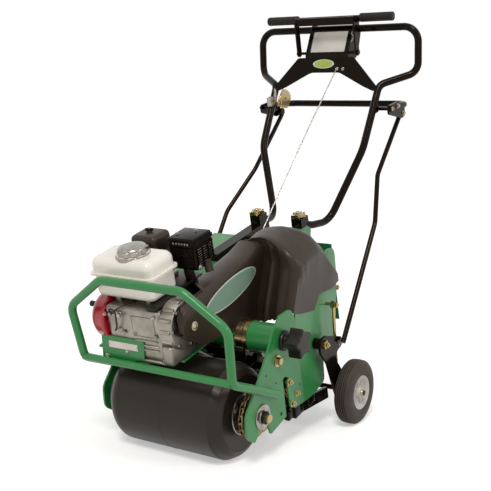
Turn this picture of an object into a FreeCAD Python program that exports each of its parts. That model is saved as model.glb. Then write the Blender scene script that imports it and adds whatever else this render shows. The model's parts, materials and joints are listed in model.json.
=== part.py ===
"""Walk-behind core aerator: ballast drum, chain-driven tine reel, belt drive, transport wheels.

Everything is built in the chassis frame: origin on the drum axle, +Y to the rear, +Z up from
the deck.  The chassis then stands nose-down by tilt_angle on its drum and transport wheels.
"""
import math
import os
from types import SimpleNamespace

import FreeCAD, Part
import Sketcher
from FreeCAD import Placement, Rotation, Vector

SIZES = {
    # stance
    "drum_radius": 139, "wheel_radius": 101.6, "wheel_base": 455.8, "tilt_angle": 14,
    "origin_setback": 381.75,
    # side plates and sheet metal
    "frame_half_width": 256, "plate_thickness": 6, "bend_start": 230, "bend_angle": 5,
    "axle_radius": 12.5, "sheet_thickness": 3, "housing_top": 300, "housing_rear": 545,
    "inner_plate_side": 8, "rail_height": 38, "rail_width": 11, "rail_front": 150,
    "rail_rear": 385, "weight_tube_radius": 44, "weight_tube_back": 155, "weight_tube_rise": 162,
    "weight_tube_start": 118, "tie_hole_radius": 6, "tie_hole_back": 95, "tie_hole_drop": 45,
    # guard hoop
    "tube_radius": 12.5, "hoop_lead": 117, "hoop_flare": 2, "hoop_swell": 15, "hoop_shoulder": 140,
    "hoop_low": 165, "hoop_mid_rise": 326, "hoop_top": 421,
    # engine
    "deck_top": 175, "deck_thickness": 6, "crank_lead": 37, "crank_rise": 276,
    "block_left": -160, "block_right": 45, "tank_left": -202, "tank_right": 17, "tank_front": -88,
    "tank_rear": 40, "tank_bottom": 350, "tank_seam": 422, "tank_top": 470, "cap_side": -80, "cap_back": -28,
    "cap_radius": 42,
    "fan_cover_radius": 72,
    "fan_cover_end": -245, "muffler_left": -33, "muffler_right": 66, "cleaner_left": -170,
    "cleaner_right": -78,
    # running gear
    "chain_pitch": 19.05, "reel_teeth": 20, "jack_teeth": 12,
    "reducer_teeth": 24, "centre_pitches": 15, "reel_drop": 25, "reducer_links": 50,
    "reducer_angle": 76, "link_height": 15, "link_plate": 1.8, "inner_link": 4.9, "outer_link": 6.9,
    "reel_chain_gap": 24, "drive_chain_gap": 44, "tip_radius": 140,
    "disc_radius": 88, "disc_spacing": 90, "disc_thickness": 8, "spoons_per_disc": 6,
    "reel_shaft_radius": 16, "jack_radius": 12.5, "drum_gap_right": 36, "drum_gap_left": 47,
    "drum_wall": 5, "drum_shoulder": 42, "running_gap": 0.05,
    # belt drive
    "belt_side": 75, "belt_width": 13, "belt_thickness": 8, "engine_pulley_radius": 35,
    "jack_pulley_radius": 88,
    "idler_radius": 31, "idler_back": 190, "idler_rise": 140, "idler_pivot_back": 250,
    "idler_pivot_rise": 138,
    # belt cover
    "cover_inner": 14.3, "nose_inner": 52, "cover_outer": 100, "hump_lap": 7, "cover_wall": 4,
    "nose_radius": 75,
    # wheel lift
    "lift_pivot_back": 335, "lift_pivot_rise": 62, "lift_arm_back": 97, "lift_arm_drop": 40,
    "leg_gap": 16, "leg_thickness": 8, "rod_radius": 8, "guide_back": 445, "guide_rise": 143,
    "guide_foot_back": 421, "guide_foot_drop": 77, "guide_radius": 5, "guide_gap": 8,
    "wheel_gap": 29, "wheel_width": 55, "rim_radius": 53, "wheel_axle_radius": 8,
    # handle
    "handle_radius": 12.5, "clamp_side": 79, "clamp_back": 612, "clamp_rise": 338,
    "leg_low_back": 873, "leg_low_rise": 508, "leg_high_back": 1022, "leg_high_rise": 690,
    "bail_lead": 28.6, "bail_rise": 616, "bail_reach": 167, "bail_drop": 26, "bail_half_width": 240, "clutch_back": 1058, "clutch_rise": 795,
    "clutch_side": 113, "grip_radius": 15, "dash_lean": 20, "dash_back": 1008, "dash_rise": 690,
    "console_half": 80,
}

doc = FreeCAD.newDocument("CoreAerator")
sheet = doc.addObject("Spreadsheet::Sheet", "Sizes")
for row, (alias, value) in enumerate(SIZES.items(), start=1):
    sheet.set(f"A{row}", alias)
    sheet.set(f"B{row}", str(value))
    sheet.setAlias(f"B{row}", alias)
doc.recompute()
S = SimpleNamespace(**{alias: float(sheet.get(alias)) for alias in SIZES})
# sizes that follow from those above
S.plate_inner = S.frame_half_width - S.plate_thickness
S.leg_side = S.frame_half_width + S.leg_gap
S.guide_side = S.frame_half_width + S.guide_gap
S.wheel_inner = S.frame_half_width + S.wheel_gap
S.wheel_outer = S.wheel_inner + S.wheel_width
S.hoop_corner = S.frame_half_width + S.hoop_flare
S.hoop_mid = S.frame_half_width + S.hoop_swell
S.hump_outer = S.frame_half_width + S.hump_lap
S.drum_left = S.drum_gap_right - S.plate_inner
S.drum_right = S.plate_inner - S.drum_gap_left
S.reel_chain_side = S.plate_inner - S.reel_chain_gap
S.drive_chain_side = S.plate_inner - S.drive_chain_gap
S.leg_slope = (S.leg_high_back - S.leg_low_back) / (S.leg_high_rise - S.leg_low_rise)
S.bail_back = S.leg_low_back + (S.bail_rise - S.leg_low_rise) * S.leg_slope + S.bail_lead
S.bail_bar_back, S.bail_bar_rise = S.bail_back + S.bail_reach, S.bail_rise - S.bail_drop

CHASSIS = Placement(Vector(0, -S.origin_setback, S.drum_radius), Rotation(Vector(1, 0, 0), S.tilt_angle))
nodes, forms = [], {}


def turn(y, z, degrees):
    """(y, z) turned about the X axis."""
    c, s = math.cos(math.radians(degrees)), math.sin(math.radians(degrees))
    return y * c - z * s, y * s + z * c


def to_chassis(y, z):
    """A point on the ground frame, from the drum axle, in the chassis frame."""
    return turn(y, z, -S.tilt_angle)


WHEEL_BACK, WHEEL_RISE = to_chassis(S.wheel_base, S.wheel_radius - S.drum_radius)
REEL_DISTANCE = S.centre_pitches * S.chain_pitch
REEL_BACK, REEL_RISE = math.sqrt(REEL_DISTANCE ** 2 - S.reel_drop ** 2), -S.reel_drop


def sprocket_radius(teeth):
    return S.chain_pitch / (2 * math.sin(math.pi / teeth))


def reducer_distance():
    """Centre distance that a whole number of links fills."""
    mean, step = (S.jack_teeth + S.reducer_teeth) / 2, S.reducer_teeth - S.jack_teeth
    span = S.reducer_links - mean
    return S.chain_pitch / 4 * (span + math.sqrt(span ** 2 - 8 * (step / (2 * math.pi)) ** 2))


JACK_BACK = REEL_BACK + reducer_distance() * math.cos(math.radians(S.reducer_angle))
JACK_RISE = REEL_RISE + reducer_distance() * math.sin(math.radians(S.reducer_angle))


def inboard(back):
    """How far the bent rear of a side plate lies inboard at a given distance back."""
    return max(back - S.bend_start, 0) * math.tan(math.radians(S.bend_angle))


# ---------------------------------------------------------------- shape helpers
def place(obj, label, back=0.0, rise=0.0, side=0.0):
    """Name a sub-part and set it into the chassis frame."""
    obj.Label = label
    obj.Placement = CHASSIS.multiply(Placement(Vector(side, back, rise), Rotation()))
    nodes.append(obj)
    return obj


def feature(label, shape, **where):
    """A sub-part whose form no parametric feature fits."""
    obj = doc.addObject("Part::Feature", label)
    obj.Shape = forms[label] = shape
    place(obj, label, **where)
    obj.Placement = obj.Placement.multiply(shape.Placement)
    return obj


def cylinder(side, back, rise, radius, length):
    """Cylinder along +X from (side, back, rise)."""
    return Part.makeCylinder(radius, length, Vector(side, back, rise), Vector(1, 0, 0))


def ring(side, back, rise, radius, bore, length):
    return cylinder(side, back, rise, radius, length).cut(cylinder(side, back, rise, bore, length))


def block(side, back, rise, end_side, end_back, end_rise):
    """Box between two corners."""
    size = Vector(end_side - side, end_back - back, end_rise - rise)
    return Part.makeBox(size.x, size.y, size.z, Vector(side, back, rise))


def rounded_edges(points, vector):
    """Lines and arcs of a closed outline whose points are (a, b, corner radius)."""
    count, stops = len(points), []
    for i, (a, b, radius) in enumerate(points):
        here = vector(a, b)
        before = (vector(*points[i - 1][:2]) - here).normalize()
        after = (vector(*points[(i + 1) % count][:2]) - here).normalize()
        half = before.getAngle(after) / 2
        reach = radius / math.tan(half)
        middle = (before + after).normalize() * (radius / math.sin(half) - radius) if radius else Vector()
        stops.append((here + before * reach, here + middle, here + after * reach, radius))
    edges = []
    for i, (start, middle, end, radius) in enumerate(stops):
        if radius:
            edges.append(Part.Arc(start, middle, end))
        following = stops[(i + 1) % count][0]
        if (following - end).Length > 1e-6:
            edges.append(Part.LineSegment(end, following))
    return edges


def slab(points, side, thickness):
    """Outline in the (back, rise) plane, extruded along +X from side."""
    edges = rounded_edges(points, lambda a, b: Vector(side, a, b))
    return Part.Face(Part.Wire([e.toShape() for e in edges])).extrude(Vector(thickness, 0, 0))


def mitred(points, distance):
    """Open polyline moved sideways by distance, corners mitred."""
    moved = []
    for i, (a, b) in enumerate(points):
        before = Vector(a, b, 0) - Vector(*points[max(i - 1, 0)][:2], 0)
        after = Vector(*points[min(i + 1, len(points) - 1)][:2], 0) - Vector(a, b, 0)
        before = before.normalize() if before.Length else after.normalize()
        after = after.normalize() if after.Length else before
        normals = [Vector(-d.y, d.x, 0) for d in (before, after)]
        shift = (normals[0] + normals[1]) * (distance / (1 + normals[0].dot(normals[1])))
        moved.append((a + shift.x, b + shift.y))
    return moved


def folded(points, side, width, thickness):
    """Sheet folded along a polyline in the (back, rise) plane."""
    inner = mitred(points, -thickness)
    return slab([(a, b, 0) for a, b in points + inner[::-1]], side, width)


def bent_path(points, radii):
    """Straight runs joined by tangent arcs; radii belong to the inner points."""
    edges, last = [], points[0]
    for i, radius in enumerate(radii, start=1):
        here = points[i]
        before, after = (points[i - 1] - here).normalize(), (points[i + 1] - here).normalize()
        half = before.getAngle(after) / 2
        reach = radius / math.tan(half)
        middle = here + (before + after).normalize() * (radius / math.sin(half) - radius)
        start, end = here + before * reach, here + after * reach
        if (start - last).Length > 1e-6:
            edges.append(Part.LineSegment(last, start).toShape())
        edges.append(Part.Arc(start, middle, end).toShape())
        last = end
    edges.append(Part.LineSegment(last, points[-1]).toShape())
    return Part.Wire(edges)


def bent_tube(points, radii, radius):
    """Round bar swept along straight runs and arcs."""
    vectors = [Vector(*p) for p in points]
    path = bent_path(vectors, radii)
    circle = Part.Circle(vectors[0], vectors[1] - vectors[0], radius).toShape()
    return path.makePipeShell([Part.Wire([circle])], True, True)


def mirrored(shape):
    return shape.mirror(Vector(), Vector(1, 0, 0))


def fuse(*shapes):
    return shapes[0].multiFuse(list(shapes[1:])).removeSplitter()


# ---------------------------------------------------------------- body helpers
def attach(body, role, offset=None):
    """Sketch on one of the body's own origin planes."""
    sketch = body.newObject("Sketcher::SketchObject", "Outline")
    support = next(f for f in body.Origin.OriginFeatures if f.Role == role)
    sketch.AttachmentSupport = [(support, "")]
    sketch.MapMode = "FlatFace"
    if offset:
        sketch.AttachmentOffset = offset
    return sketch


def draw(sketch, points):
    """Closed outline with rounded corners in the sketch plane."""
    sketch.addGeometry(rounded_edges(points, lambda a, b: Vector(a, b, 0)), False)


def circle(sketch, a, b, radius, bound=None):
    """Circle whose radius follows an expression."""
    index = sketch.addGeometry(Part.Circle(Vector(a, b, 0), Vector(0, 0, 1), radius), False)
    if bound:
        constraint = sketch.addConstraint(Sketcher.Constraint("Radius", index, radius))
        sketch.setExpression(f"Constraints[{constraint}]", bound)


def pad(body, sketch, length, both=False):
    """Pad whose length follows an expression."""
    extrusion = body.newObject("PartDesign::Pad", "Pad")
    extrusion.Profile = sketch
    extrusion.setExpression("Length", length)
    extrusion.Midplane = both
    return extrusion


def plate(label, outlines, side, thickness, holes=()):
    """Flat plate across X: outlines of (back, rise, corner), round holes, expressions for X."""
    body = doc.addObject("PartDesign::Body", label)
    sketch = attach(body, "YZ_Plane")
    sketch.setExpression("AttachmentOffset.Base.z", side)
    for points in outlines:
        draw(sketch, points)
    for back, rise, radius, bound in holes:
        circle(sketch, back, rise, radius, bound)
    pad(body, sketch, thickness)
    return place(body, label)


def turned(label, profile, back, rise, side=0.0):
    """Profile of (X, radius) revolved about an axis along X."""
    body = doc.addObject("PartDesign::Body", label)
    sketch = attach(body, "XY_Plane")
    draw(sketch, [(p[0], p[1], p[2] if len(p) > 2 else 0) for p in profile])
    revolution = body.newObject("PartDesign::Revolution", "Revolution")
    revolution.Profile = sketch
    revolution.ReferenceAxis = (sketch, ["H_Axis"])
    revolution.Angle = 360
    return place(body, label, back=back, rise=rise, side=side)


# ---------------------------------------------------------------- chassis plates
def side_plate():
    """Drum lobe with its open axle slot, and the rear half bent inboard behind bend_start."""
    slot, bend, low = S.axle_radius + 0.1, S.bend_start, S.lift_pivot_rise
    inner = S.plate_inner
    front = slab([(-53, -53, 8), (-86, -22, 34), (-76, 44, 44), (-14, 92, 40), (58, 156, 60), (112, 214, 60),
                  (152, 240, 22), (212, 236, 30), (bend, 196, 10), (bend, -78, 0), (166, -67, 6), (160, 40, 12),
                  (126, 60, 10), (119, -67, 4), (30, -74, 5), (slot + 6, -30, 4), (slot, -14, 4),
                  (slot, slot, slot), (-slot, slot, slot), (-slot, -14, 4), (-30, -40, 6)],
                 inner, S.plate_thickness)
    rear = slab([(-4, 180, 0), (24, 262, 40), (80, S.housing_top, 30), (270, S.housing_top, 30), (324, 292, 34),
                 (318, 190, 40), (262, 16, 12), (160, low - 50, 18), (146, -88, 14), (60, -90, 30), (-4, -77, 0)],
                0, S.plate_thickness)
    front = front.cut(cylinder(0, S.tie_hole_back, -S.tie_hole_drop, S.tie_hole_radius, inner + 20))
    rear.rotate(Vector(), Vector(0, 0, 1), S.bend_angle)
    rear.translate(Vector(inner, bend, 0))
    return fuse(front, rear)


def chassis_plates():
    """Side plates, the inner bearing plate, and the sheet metal over the tine reel."""
    sheet_shape = side_plate()
    feature("left_side_plate", sheet_shape)
    feature("right_side_plate", mirrored(sheet_shape))
    top, rear = S.housing_top, S.housing_rear
    plate("bearing_plate",
          [[(46, S.deck_top, 0), (150, S.deck_top, 0), (176, 140, 20), (300, 136, 30), (430, 112, 30),
            (rear, 60, 0), (rear, top - 3, 0), (300, top - 3, 0), (180, 222, 20), (70, 200, 15)]],
          "Sizes.inner_plate_side", "Sizes.plate_thickness",
          [(JACK_BACK, JACK_RISE, S.jack_radius + 0.05, "Sizes.jack_radius + Sizes.running_gap")])
    inner = S.plate_inner
    half = inner - inboard(rear + S.sheet_thickness)
    feature("rear_panel", block(-half, rear, 40, half, rear + S.sheet_thickness, top))
    profile = [(132, S.deck_top), (250, 282), (300, top), (rear, top)]
    hood = folded(profile, -inner, inner + S.inner_plate_side, S.sheet_thickness)
    edge = [Vector(-inner - 20, 100, 0), Vector(-inner, 100, 0), Vector(-inner, S.bend_start, 0),
            Vector(inboard(600) - inner, 600, 0), Vector(-inner - 20, 600, 0)]
    beyond = Part.Face(Part.makePolygon(edge + edge[:1])).extrude(Vector(0, 0, 400))
    feature("tine_housing", hood.cut(beyond))


def deck():
    """Engine deck, its front shield, the cross rail and the ballast tube beside it."""
    low = S.deck_top - S.deck_thickness
    inner = S.plate_inner
    sheet_shape = block(-inner, -60, low, 62, 130, S.deck_top)
    tongue = block(-197, -103, low, -31, -60, S.deck_top)
    feature("engine_deck", fuse(sheet_shape, tongue))
    body = doc.addObject("PartDesign::Body", "front_shield")
    sketch = attach(body, "XZ_Plane")
    draw(sketch, [(-197, 157, 4), (-87, 160, 4), (-74, 176, 4), (-40, 186, 4), (-31, 243, 6), (-184, 243, 8)])
    sketch.setExpression("AttachmentOffset.Base.z", "103")
    pad(body, sketch, "Sizes.sheet_thickness + 1")
    place(body, "front_shield")
    feature("cross_rail", block(-inner, 111, low - 46, S.weight_tube_start - 16, 151, low))
    tube = cylinder(S.weight_tube_start, S.weight_tube_back, S.weight_tube_rise, S.weight_tube_radius,
                    inner - S.weight_tube_start)
    end = S.weight_tube_start
    cap = [cylinder(end - 3, S.weight_tube_back, S.weight_tube_rise, S.weight_tube_radius - 3, 3),
           cylinder(end - 5, S.weight_tube_back, S.weight_tube_rise, 20, 5),
           hexagon(end - 13, S.weight_tube_back, S.weight_tube_rise, 17, 10)]
    feature("weight_tube", fuse(tube, *cap))


def lower_rails():
    """Box rails under the tine reel, level with the ground when the wheels are down."""
    rise = -78
    drop = (S.rail_rear - S.rail_front) * math.tan(math.radians(S.tilt_angle))
    half = S.rail_height / 2
    points = [(S.rail_front - 16, rise - half + 4, 6), (S.rail_front - 10, rise + half - 14, 10),
              (S.rail_front + 20, rise + half - 2, 8), (S.rail_rear, rise + half - drop, 3),
              (S.rail_rear, rise - half - drop, 3)]
    inner = S.plate_inner
    lug = block(inner - 5, 180, rise - 6, inner, 222, rise + 20)
    left = fuse(slab(points, inner - 5 - S.rail_width, S.rail_width), lug)
    feature("lower_rails", Part.makeCompound([left, mirrored(left)]))


def guard():
    """Hoop in front of the engine; its tails run back and are welded outside the side plates."""
    lead, weld = -S.hoop_lead, S.frame_half_width + S.tube_radius
    half = [(weld, 70, 36), (S.hoop_corner, lead, S.hoop_low), (S.hoop_mid, lead, S.hoop_mid_rise),
            (S.hoop_shoulder, lead, S.hoop_top)]
    points = half + [(-x, y, z) for x, y, z in reversed(half)]
    hoop = bent_tube(points, [34, 48, 48, 48, 48, 34], S.tube_radius)
    flat = S.frame_half_width
    hoop = hoop.cut(block(-flat, -62, 20, flat, 90, 112))
    feature("guard_hoop", hoop)
    cross = cylinder(-S.hoop_corner, lead - 1.3, S.hoop_low + 2, S.tube_radius - 1.5, 2 * S.hoop_corner)
    feature("guard_cross_tube", max(cross.cut(hoop).Solids, key=lambda s: s.Volume))


def shafts():
    """Fixed drum axle with its washers and nuts, and the flanged bearings of the other shafts."""
    outer = S.frame_half_width + 26
    parts = [cylinder(-outer, 0, 0, S.axle_radius, 2 * outer)]
    for side in (1, -1):
        face = S.frame_half_width if side > 0 else -S.frame_half_width - 5
        parts.append(cylinder(face, 0, 0, 27, 5))
        nut = S.frame_half_width + 5 if side > 0 else -S.frame_half_width - 17
        parts.append(hexagon(nut, 0, 0, 19, 12))
    feature("drum_axle", fuse(*parts))
    inner = S.plate_inner
    bearings = []
    for side in (1, -1):
        seat = inner - inboard(REEL_BACK + 36)
        base = seat - 9 if side > 0 else -seat
        bearings.append(ring(base, REEL_BACK, REEL_RISE, 36, S.reel_shaft_radius + S.running_gap, 9))
    seat = inner - inboard(JACK_BACK + 32)
    bearings.append(ring(seat - 9, JACK_BACK, JACK_RISE, 32, S.jack_radius + S.running_gap, 9))
    bearings.append(ring(-6, JACK_BACK, JACK_RISE, 22, S.jack_radius + S.running_gap,
                         S.inner_plate_side + 6))
    feature("shaft_bearings", Part.makeCompound(bearings))


def hexagon(side, back, rise, across, length):
    """Hexagon bar along +X."""
    reach = across / math.sqrt(3)
    corners = [(back + reach * math.cos(math.radians(60 * i)), rise + reach * math.sin(math.radians(60 * i)), 0)
               for i in range(6)]
    return slab(corners, side, length)


# ---------------------------------------------------------------- running gear
def drum():
    """Hollow ballast drum turning on the fixed axle."""
    left, right, radius, wall = S.drum_left, S.drum_right, S.drum_radius, S.drum_wall
    hub, bore = S.axle_radius + 14, S.axle_radius + S.running_gap
    end = radius - S.drum_shoulder
    outer = [(left + 14, bore), (left + 14, hub, 4), (left + 6, end - 26, 6), (left, end - 16, 8), (left, end, 12),
             (left + S.drum_shoulder, radius, S.drum_shoulder), (right - S.drum_shoulder, radius, 0),
             (right - 20, radius - 12, 20), (right - 8, radius - 30, 12), (right - 8, hub + 20, 6),
             (right, hub, 4), (right, bore)]
    turned("drum_shell", outer, 0, 0)
    feature("drum_sprocket", sprocket(S.reel_teeth, S.reel_chain_side, 5.4, S.axle_radius + S.running_gap,
                                      S.drum_right), back=0, rise=0)


def sprocket(teeth, middle, thickness, bore, hub_start):
    """Toothed disc centred on X = middle with a hub reaching back to hub_start."""
    pitch_radius, roller = sprocket_radius(teeth), 0.32 * S.chain_pitch
    root, tip = pitch_radius - roller - 0.2, pitch_radius + 0.28 * S.chain_pitch
    outline, step = [], 2 * math.pi / teeth
    for i in range(int(teeth)):
        for radius, part in ((root, 0.0), (root + roller * 0.5, 0.27), (tip, 0.42), (tip, 0.58),
                             (root + roller * 0.5, 0.73)):
            angle = (i + part) * step
            outline.append((radius * math.cos(angle), radius * math.sin(angle), 0))
    disc = slab(outline, middle - thickness / 2, thickness)
    hub = cylinder(min(hub_start, middle), 0, 0, bore + 12, abs(hub_start - middle))
    return fuse(disc, hub).cut(cylinder(-400, 0, 0, bore, 800))


def reel():
    """Tine reel: shaft, discs, two sprockets and the spoon tines round each disc."""
    inner = S.plate_inner
    reach = inner - inboard(REEL_BACK + 36) - 0.4
    shaft = cylinder(-reach, 0, 0, S.reel_shaft_radius, 2 * reach)
    discs = []
    for k in (-2, -1, 0, 1, 2):
        discs.append(cylinder(k * S.disc_spacing - S.disc_thickness / 2, 0, 0, S.disc_radius, S.disc_thickness))
    feature("tine_shaft", fuse(shaft, *discs), back=REEL_BACK, rise=REEL_RISE)
    spoons = []
    for k in (-2, -1, 0, 1, 2):
        for n in range(int(S.spoons_per_disc)):
            angle = 360.0 / S.spoons_per_disc * (n + 0.2 * k)
            spoons.append(spoon(k * S.disc_spacing + S.disc_thickness / 2, angle))
    feature("tine_spoons", Part.makeCompound(spoons), back=REEL_BACK, rise=REEL_RISE)
    hub = S.reel_shaft_radius
    discs = [sprocket(S.reel_teeth, S.reel_chain_side, 5.4, hub, S.reel_chain_side - 9),
             sprocket(S.reducer_teeth, S.drive_chain_side, 5.4, hub, S.drive_chain_side - 9)]
    feature("tine_sprockets", Part.makeCompound(discs), back=REEL_BACK, rise=REEL_RISE)


def spoon(side, angle):
    """Open half tube bolted to a disc face, its mouth cut at a slant."""
    start, end, half = S.disc_radius - 34, S.tip_radius, 9.0
    ring_points = [(0, -half), (half * 0.7, -half), (half * 1.4, -half * 0.4), (half * 1.4, half * 0.4),
                   (half * 0.7, half), (0, half)]
    inner = [(0, half - 3), (half * 0.6, half - 3), (half * 1.4 - 3, half * 0.25),
             (half * 1.4 - 3, -half * 0.25), (half * 0.6, 3 - half), (0, 3 - half)]
    points = [Vector(side + a, b, start) for a, b in ring_points + inner]
    bar = Part.Face(Part.makePolygon(points + points[:1])).extrude(Vector(0, 0, end - start))
    bar.rotate(Vector(), Vector(1, 0, 0), angle)
    return bar


def jackshaft():
    """Counter shaft: small sprocket and large pulley."""
    inner = S.plate_inner
    shaft = cylinder(-5, 0, 0, S.jack_radius, inner - inboard(JACK_BACK + 32) + 4.6)
    teeth = sprocket(S.jack_teeth, S.drive_chain_side, 5.4, S.jack_radius, S.drive_chain_side - 10)
    feature("jackshaft", fuse(shaft, teeth), back=JACK_BACK, rise=JACK_RISE)
    pulley("jack_pulley", S.jack_pulley_radius, S.jack_radius, JACK_BACK, JACK_RISE, 30)


def pulley(label, radius, bore, back, rise, hub):
    """V pulley revolved about its shaft; radius is the belt's pitch radius."""
    half, depth = S.belt_width / 2, 9
    web = max(radius - 24, hub)
    profile = [(-half - 6, bore), (-half - 6, hub), (-4, hub), (-4, web), (-half - 3, web + 1),
               (-half - 3, radius + 4), (-half, radius + 4), (-half + 3, radius - depth),
               (half - 3, radius - depth), (half, radius + 4), (half + 3, radius + 4),
               (half + 3, web + 1), (4, web), (4, hub), (half + 6, hub), (half + 6, bore)]
    if web <= hub:
        root = S.block_right - 30 - S.belt_side
        profile = [(root, 0), (root, 10), (-half - 6, 10), (-half - 6, radius + 4), (-half, radius + 4),
                   (-half + 3, radius - depth), (half - 3, radius - depth), (half, radius + 4),
                   (half + 6, radius + 4), (half + 6, 0)]
    return turned(label, profile, back, rise, side=S.belt_side)


def belt_drive():
    """Engine pulley on its shaft, the V belt, and the idler on its arm below the slack run."""
    pulley("engine_pulley", S.engine_pulley_radius, 0, -S.crank_lead, S.crank_rise, 31)
    crank, jack = Vector(0, -S.crank_lead, S.crank_rise), Vector(0, JACK_BACK, JACK_RISE)

    outer = belt_face(crank, jack, 3.2).extrude(Vector(S.belt_thickness, 0, 0))
    inner = belt_face(crank, jack, -5.5).extrude(Vector(S.belt_thickness, 0, 0))
    belt = outer.cut(inner)
    belt.translate(Vector(S.belt_side - S.belt_thickness / 2, 0, 0))
    feature("drive_belt", belt)
    pivot_back, pivot_rise = S.idler_pivot_back, S.idler_pivot_rise
    plate_end = S.inner_plate_side + S.plate_thickness
    arm_side = S.belt_side + S.belt_width / 2 + 8
    bar = slab([(pivot_back + 12, pivot_rise - 12, 10), (pivot_back + 12, pivot_rise + 12, 10),
                (S.idler_back - 12, S.idler_rise + 10, 9), (S.idler_back - 12, S.idler_rise - 10, 9)],
               arm_side, 6)
    sleeve = cylinder(plate_end + 0.3, pivot_back, pivot_rise, 9, arm_side - plate_end)
    spindle = cylinder(S.belt_side - 12, S.idler_back, S.idler_rise, 6, arm_side - S.belt_side + 12)
    arm = fuse(bar, sleeve, spindle).cut(cylinder(0, pivot_back, pivot_rise, 5 + S.running_gap, 200))
    feature("idler_arm", arm)
    turned("idler_pulley",
           [(-7, 6 + S.running_gap), (-7, S.idler_radius + 4), (-5, S.idler_radius + 4), (-5, S.idler_radius),
            (5, S.idler_radius), (5, S.idler_radius + 4), (7, S.idler_radius + 4), (7, 6 + S.running_gap)],
           S.idler_back, S.idler_rise, side=S.belt_side)


def belt_face(first, second, grow):
    """Area inside the outer tangents of the two pulleys, grown by a distance."""
    small, large = S.engine_pulley_radius + grow, S.jack_pulley_radius + grow
    along = second - first
    lean = math.asin((large - small) / along.Length)
    base = math.atan2(along.z, along.y)

    def rim(centre, radius, angle):
        return Vector(0, centre.y + radius * math.cos(angle), centre.z + radius * math.sin(angle))

    up, down = base + math.pi / 2 + lean, base - math.pi / 2 - lean
    edges = [Part.LineSegment(rim(first, small, up), rim(second, large, up)),
             Part.Arc(rim(second, large, up), rim(second, large, base), rim(second, large, down)),
             Part.LineSegment(rim(second, large, down), rim(first, small, down)),
             Part.Arc(rim(first, small, down), rim(first, small, base + math.pi), rim(first, small, up))]
    return Part.Face(Part.Wire([e.toShape() for e in edges]))


def chain_points(first, teeth_first, second, teeth_second, links):
    """Joint positions, one pitch apart, round two sprockets."""
    r1, r2 = sprocket_radius(teeth_first), sprocket_radius(teeth_second)
    along = Vector(0, second[0] - first[0], second[1] - first[1])
    base, lean = math.atan2(along.z, along.y), math.asin((r2 - r1) / along.Length)
    run = along.Length * math.cos(lean)
    wrap1, wrap2 = r1 * (math.pi - 2 * lean), r2 * (math.pi + 2 * lean)
    total, points = 2 * run + wrap1 + wrap2, []
    up = base + math.pi / 2 + lean
    for i in range(int(links)):
        s = total * i / links
        if s < run:
            y = first[0] + r1 * math.cos(up) + s * math.cos(base + lean)
            z = first[1] + r1 * math.sin(up) + s * math.sin(base + lean)
        elif s < run + wrap2:
            angle = up - (s - run) / r2
            y, z = second[0] + r2 * math.cos(angle), second[1] + r2 * math.sin(angle)
        elif s < 2 * run + wrap2:
            angle, left = up - (math.pi + 2 * lean), 2 * run + wrap2 - s
            y = first[0] + r1 * math.cos(angle) + left * math.cos(base - lean)
            z = first[1] + r1 * math.sin(angle) + left * math.sin(base - lean)
        else:
            angle = up - (math.pi + 2 * lean) - (s - 2 * run - wrap2) / r1
            y, z = first[0] + r1 * math.cos(angle), first[1] + r1 * math.sin(angle)
        points.append((y, z))
    return points


def link(start, end, side, half_width, rollers):
    """One chain link: two side plates, joined by rollers on a straight run."""
    along = Vector(0, end[0] - start[0], end[1] - start[1])
    length, tilt = along.Length, math.degrees(math.atan2(along.z, along.y))
    high, reach = S.link_height / 2, S.link_height / 2 - 1
    outline = [(-reach, -high / 2, 0), (-reach, high / 2, 0), (0, high, 0), (length, high, 0),
               (length + reach, high / 2, 0), (length + reach, -high / 2, 0), (length, -high, 0), (0, -high, 0)]
    solids = [slab(outline, side - half_width, S.link_plate),
              slab(outline, side + half_width - S.link_plate, S.link_plate)]
    gap = 2 * (half_width - S.link_plate)
    if rollers:
        solids = [fuse(*solids, *(cylinder(side - gap / 2, middle, 0, 5, gap) for middle in (0, length)))]
    shape = Part.makeCompound(solids)
    shape.rotate(Vector(), Vector(1, 0, 0), tilt)
    shape.translate(Vector(0, start[0], start[1]))
    return shape


def straight(point, centre, teeth):
    """True where a chain joint is clear of a sprocket's teeth."""
    return math.dist(point, centre) > sprocket_radius(teeth) + 10


def chain(first, teeth_first, second, teeth_second, links, side):
    """Closed loop of inner and outer links round two sprockets."""
    joints = chain_points(first, teeth_first, second, teeth_second, links)
    shapes = []
    for i, start in enumerate(joints):
        end, inner = joints[(i + 1) % len(joints)], i % 2 == 0
        clear = all(straight(p, c, t) for p in (start, end) for c, t in ((first, teeth_first), (second, teeth_second)))
        shapes.append(link(start, end, side, S.inner_link if inner else S.outer_link, inner and clear))
    return shapes


def chains():
    """Reel chain between drum and tine reel; drive chain from the counter shaft to the reel."""
    reel_axis = (REEL_BACK, REEL_RISE)
    links = chain((0, 0), S.reel_teeth, reel_axis, S.reel_teeth, 2 * S.centre_pitches + S.reel_teeth, S.reel_chain_side)
    links += chain((JACK_BACK, JACK_RISE), S.jack_teeth, reel_axis, S.reducer_teeth, S.reducer_links,
                   S.drive_chain_side)
    feature("drive_chains", Part.makeCompound(links))


# ---------------------------------------------------------------- belt cover
def prism(outline, direction, start, inset):
    """Outline of (a, b, corner) shrunk by inset and extruded across its plane."""
    axes = {"side": lambda a, b: Vector(start, a, b), "plan": lambda a, b: Vector(a, b, start),
            "end": lambda a, b: Vector(a, start, b)}
    wire = Part.Wire([e.toShape() for e in rounded_edges(outline, axes[direction[0]])])
    if inset:
        wire = wire.makeOffset2D(-inset)
    return Part.Face(wire).extrude(direction[1])


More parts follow.
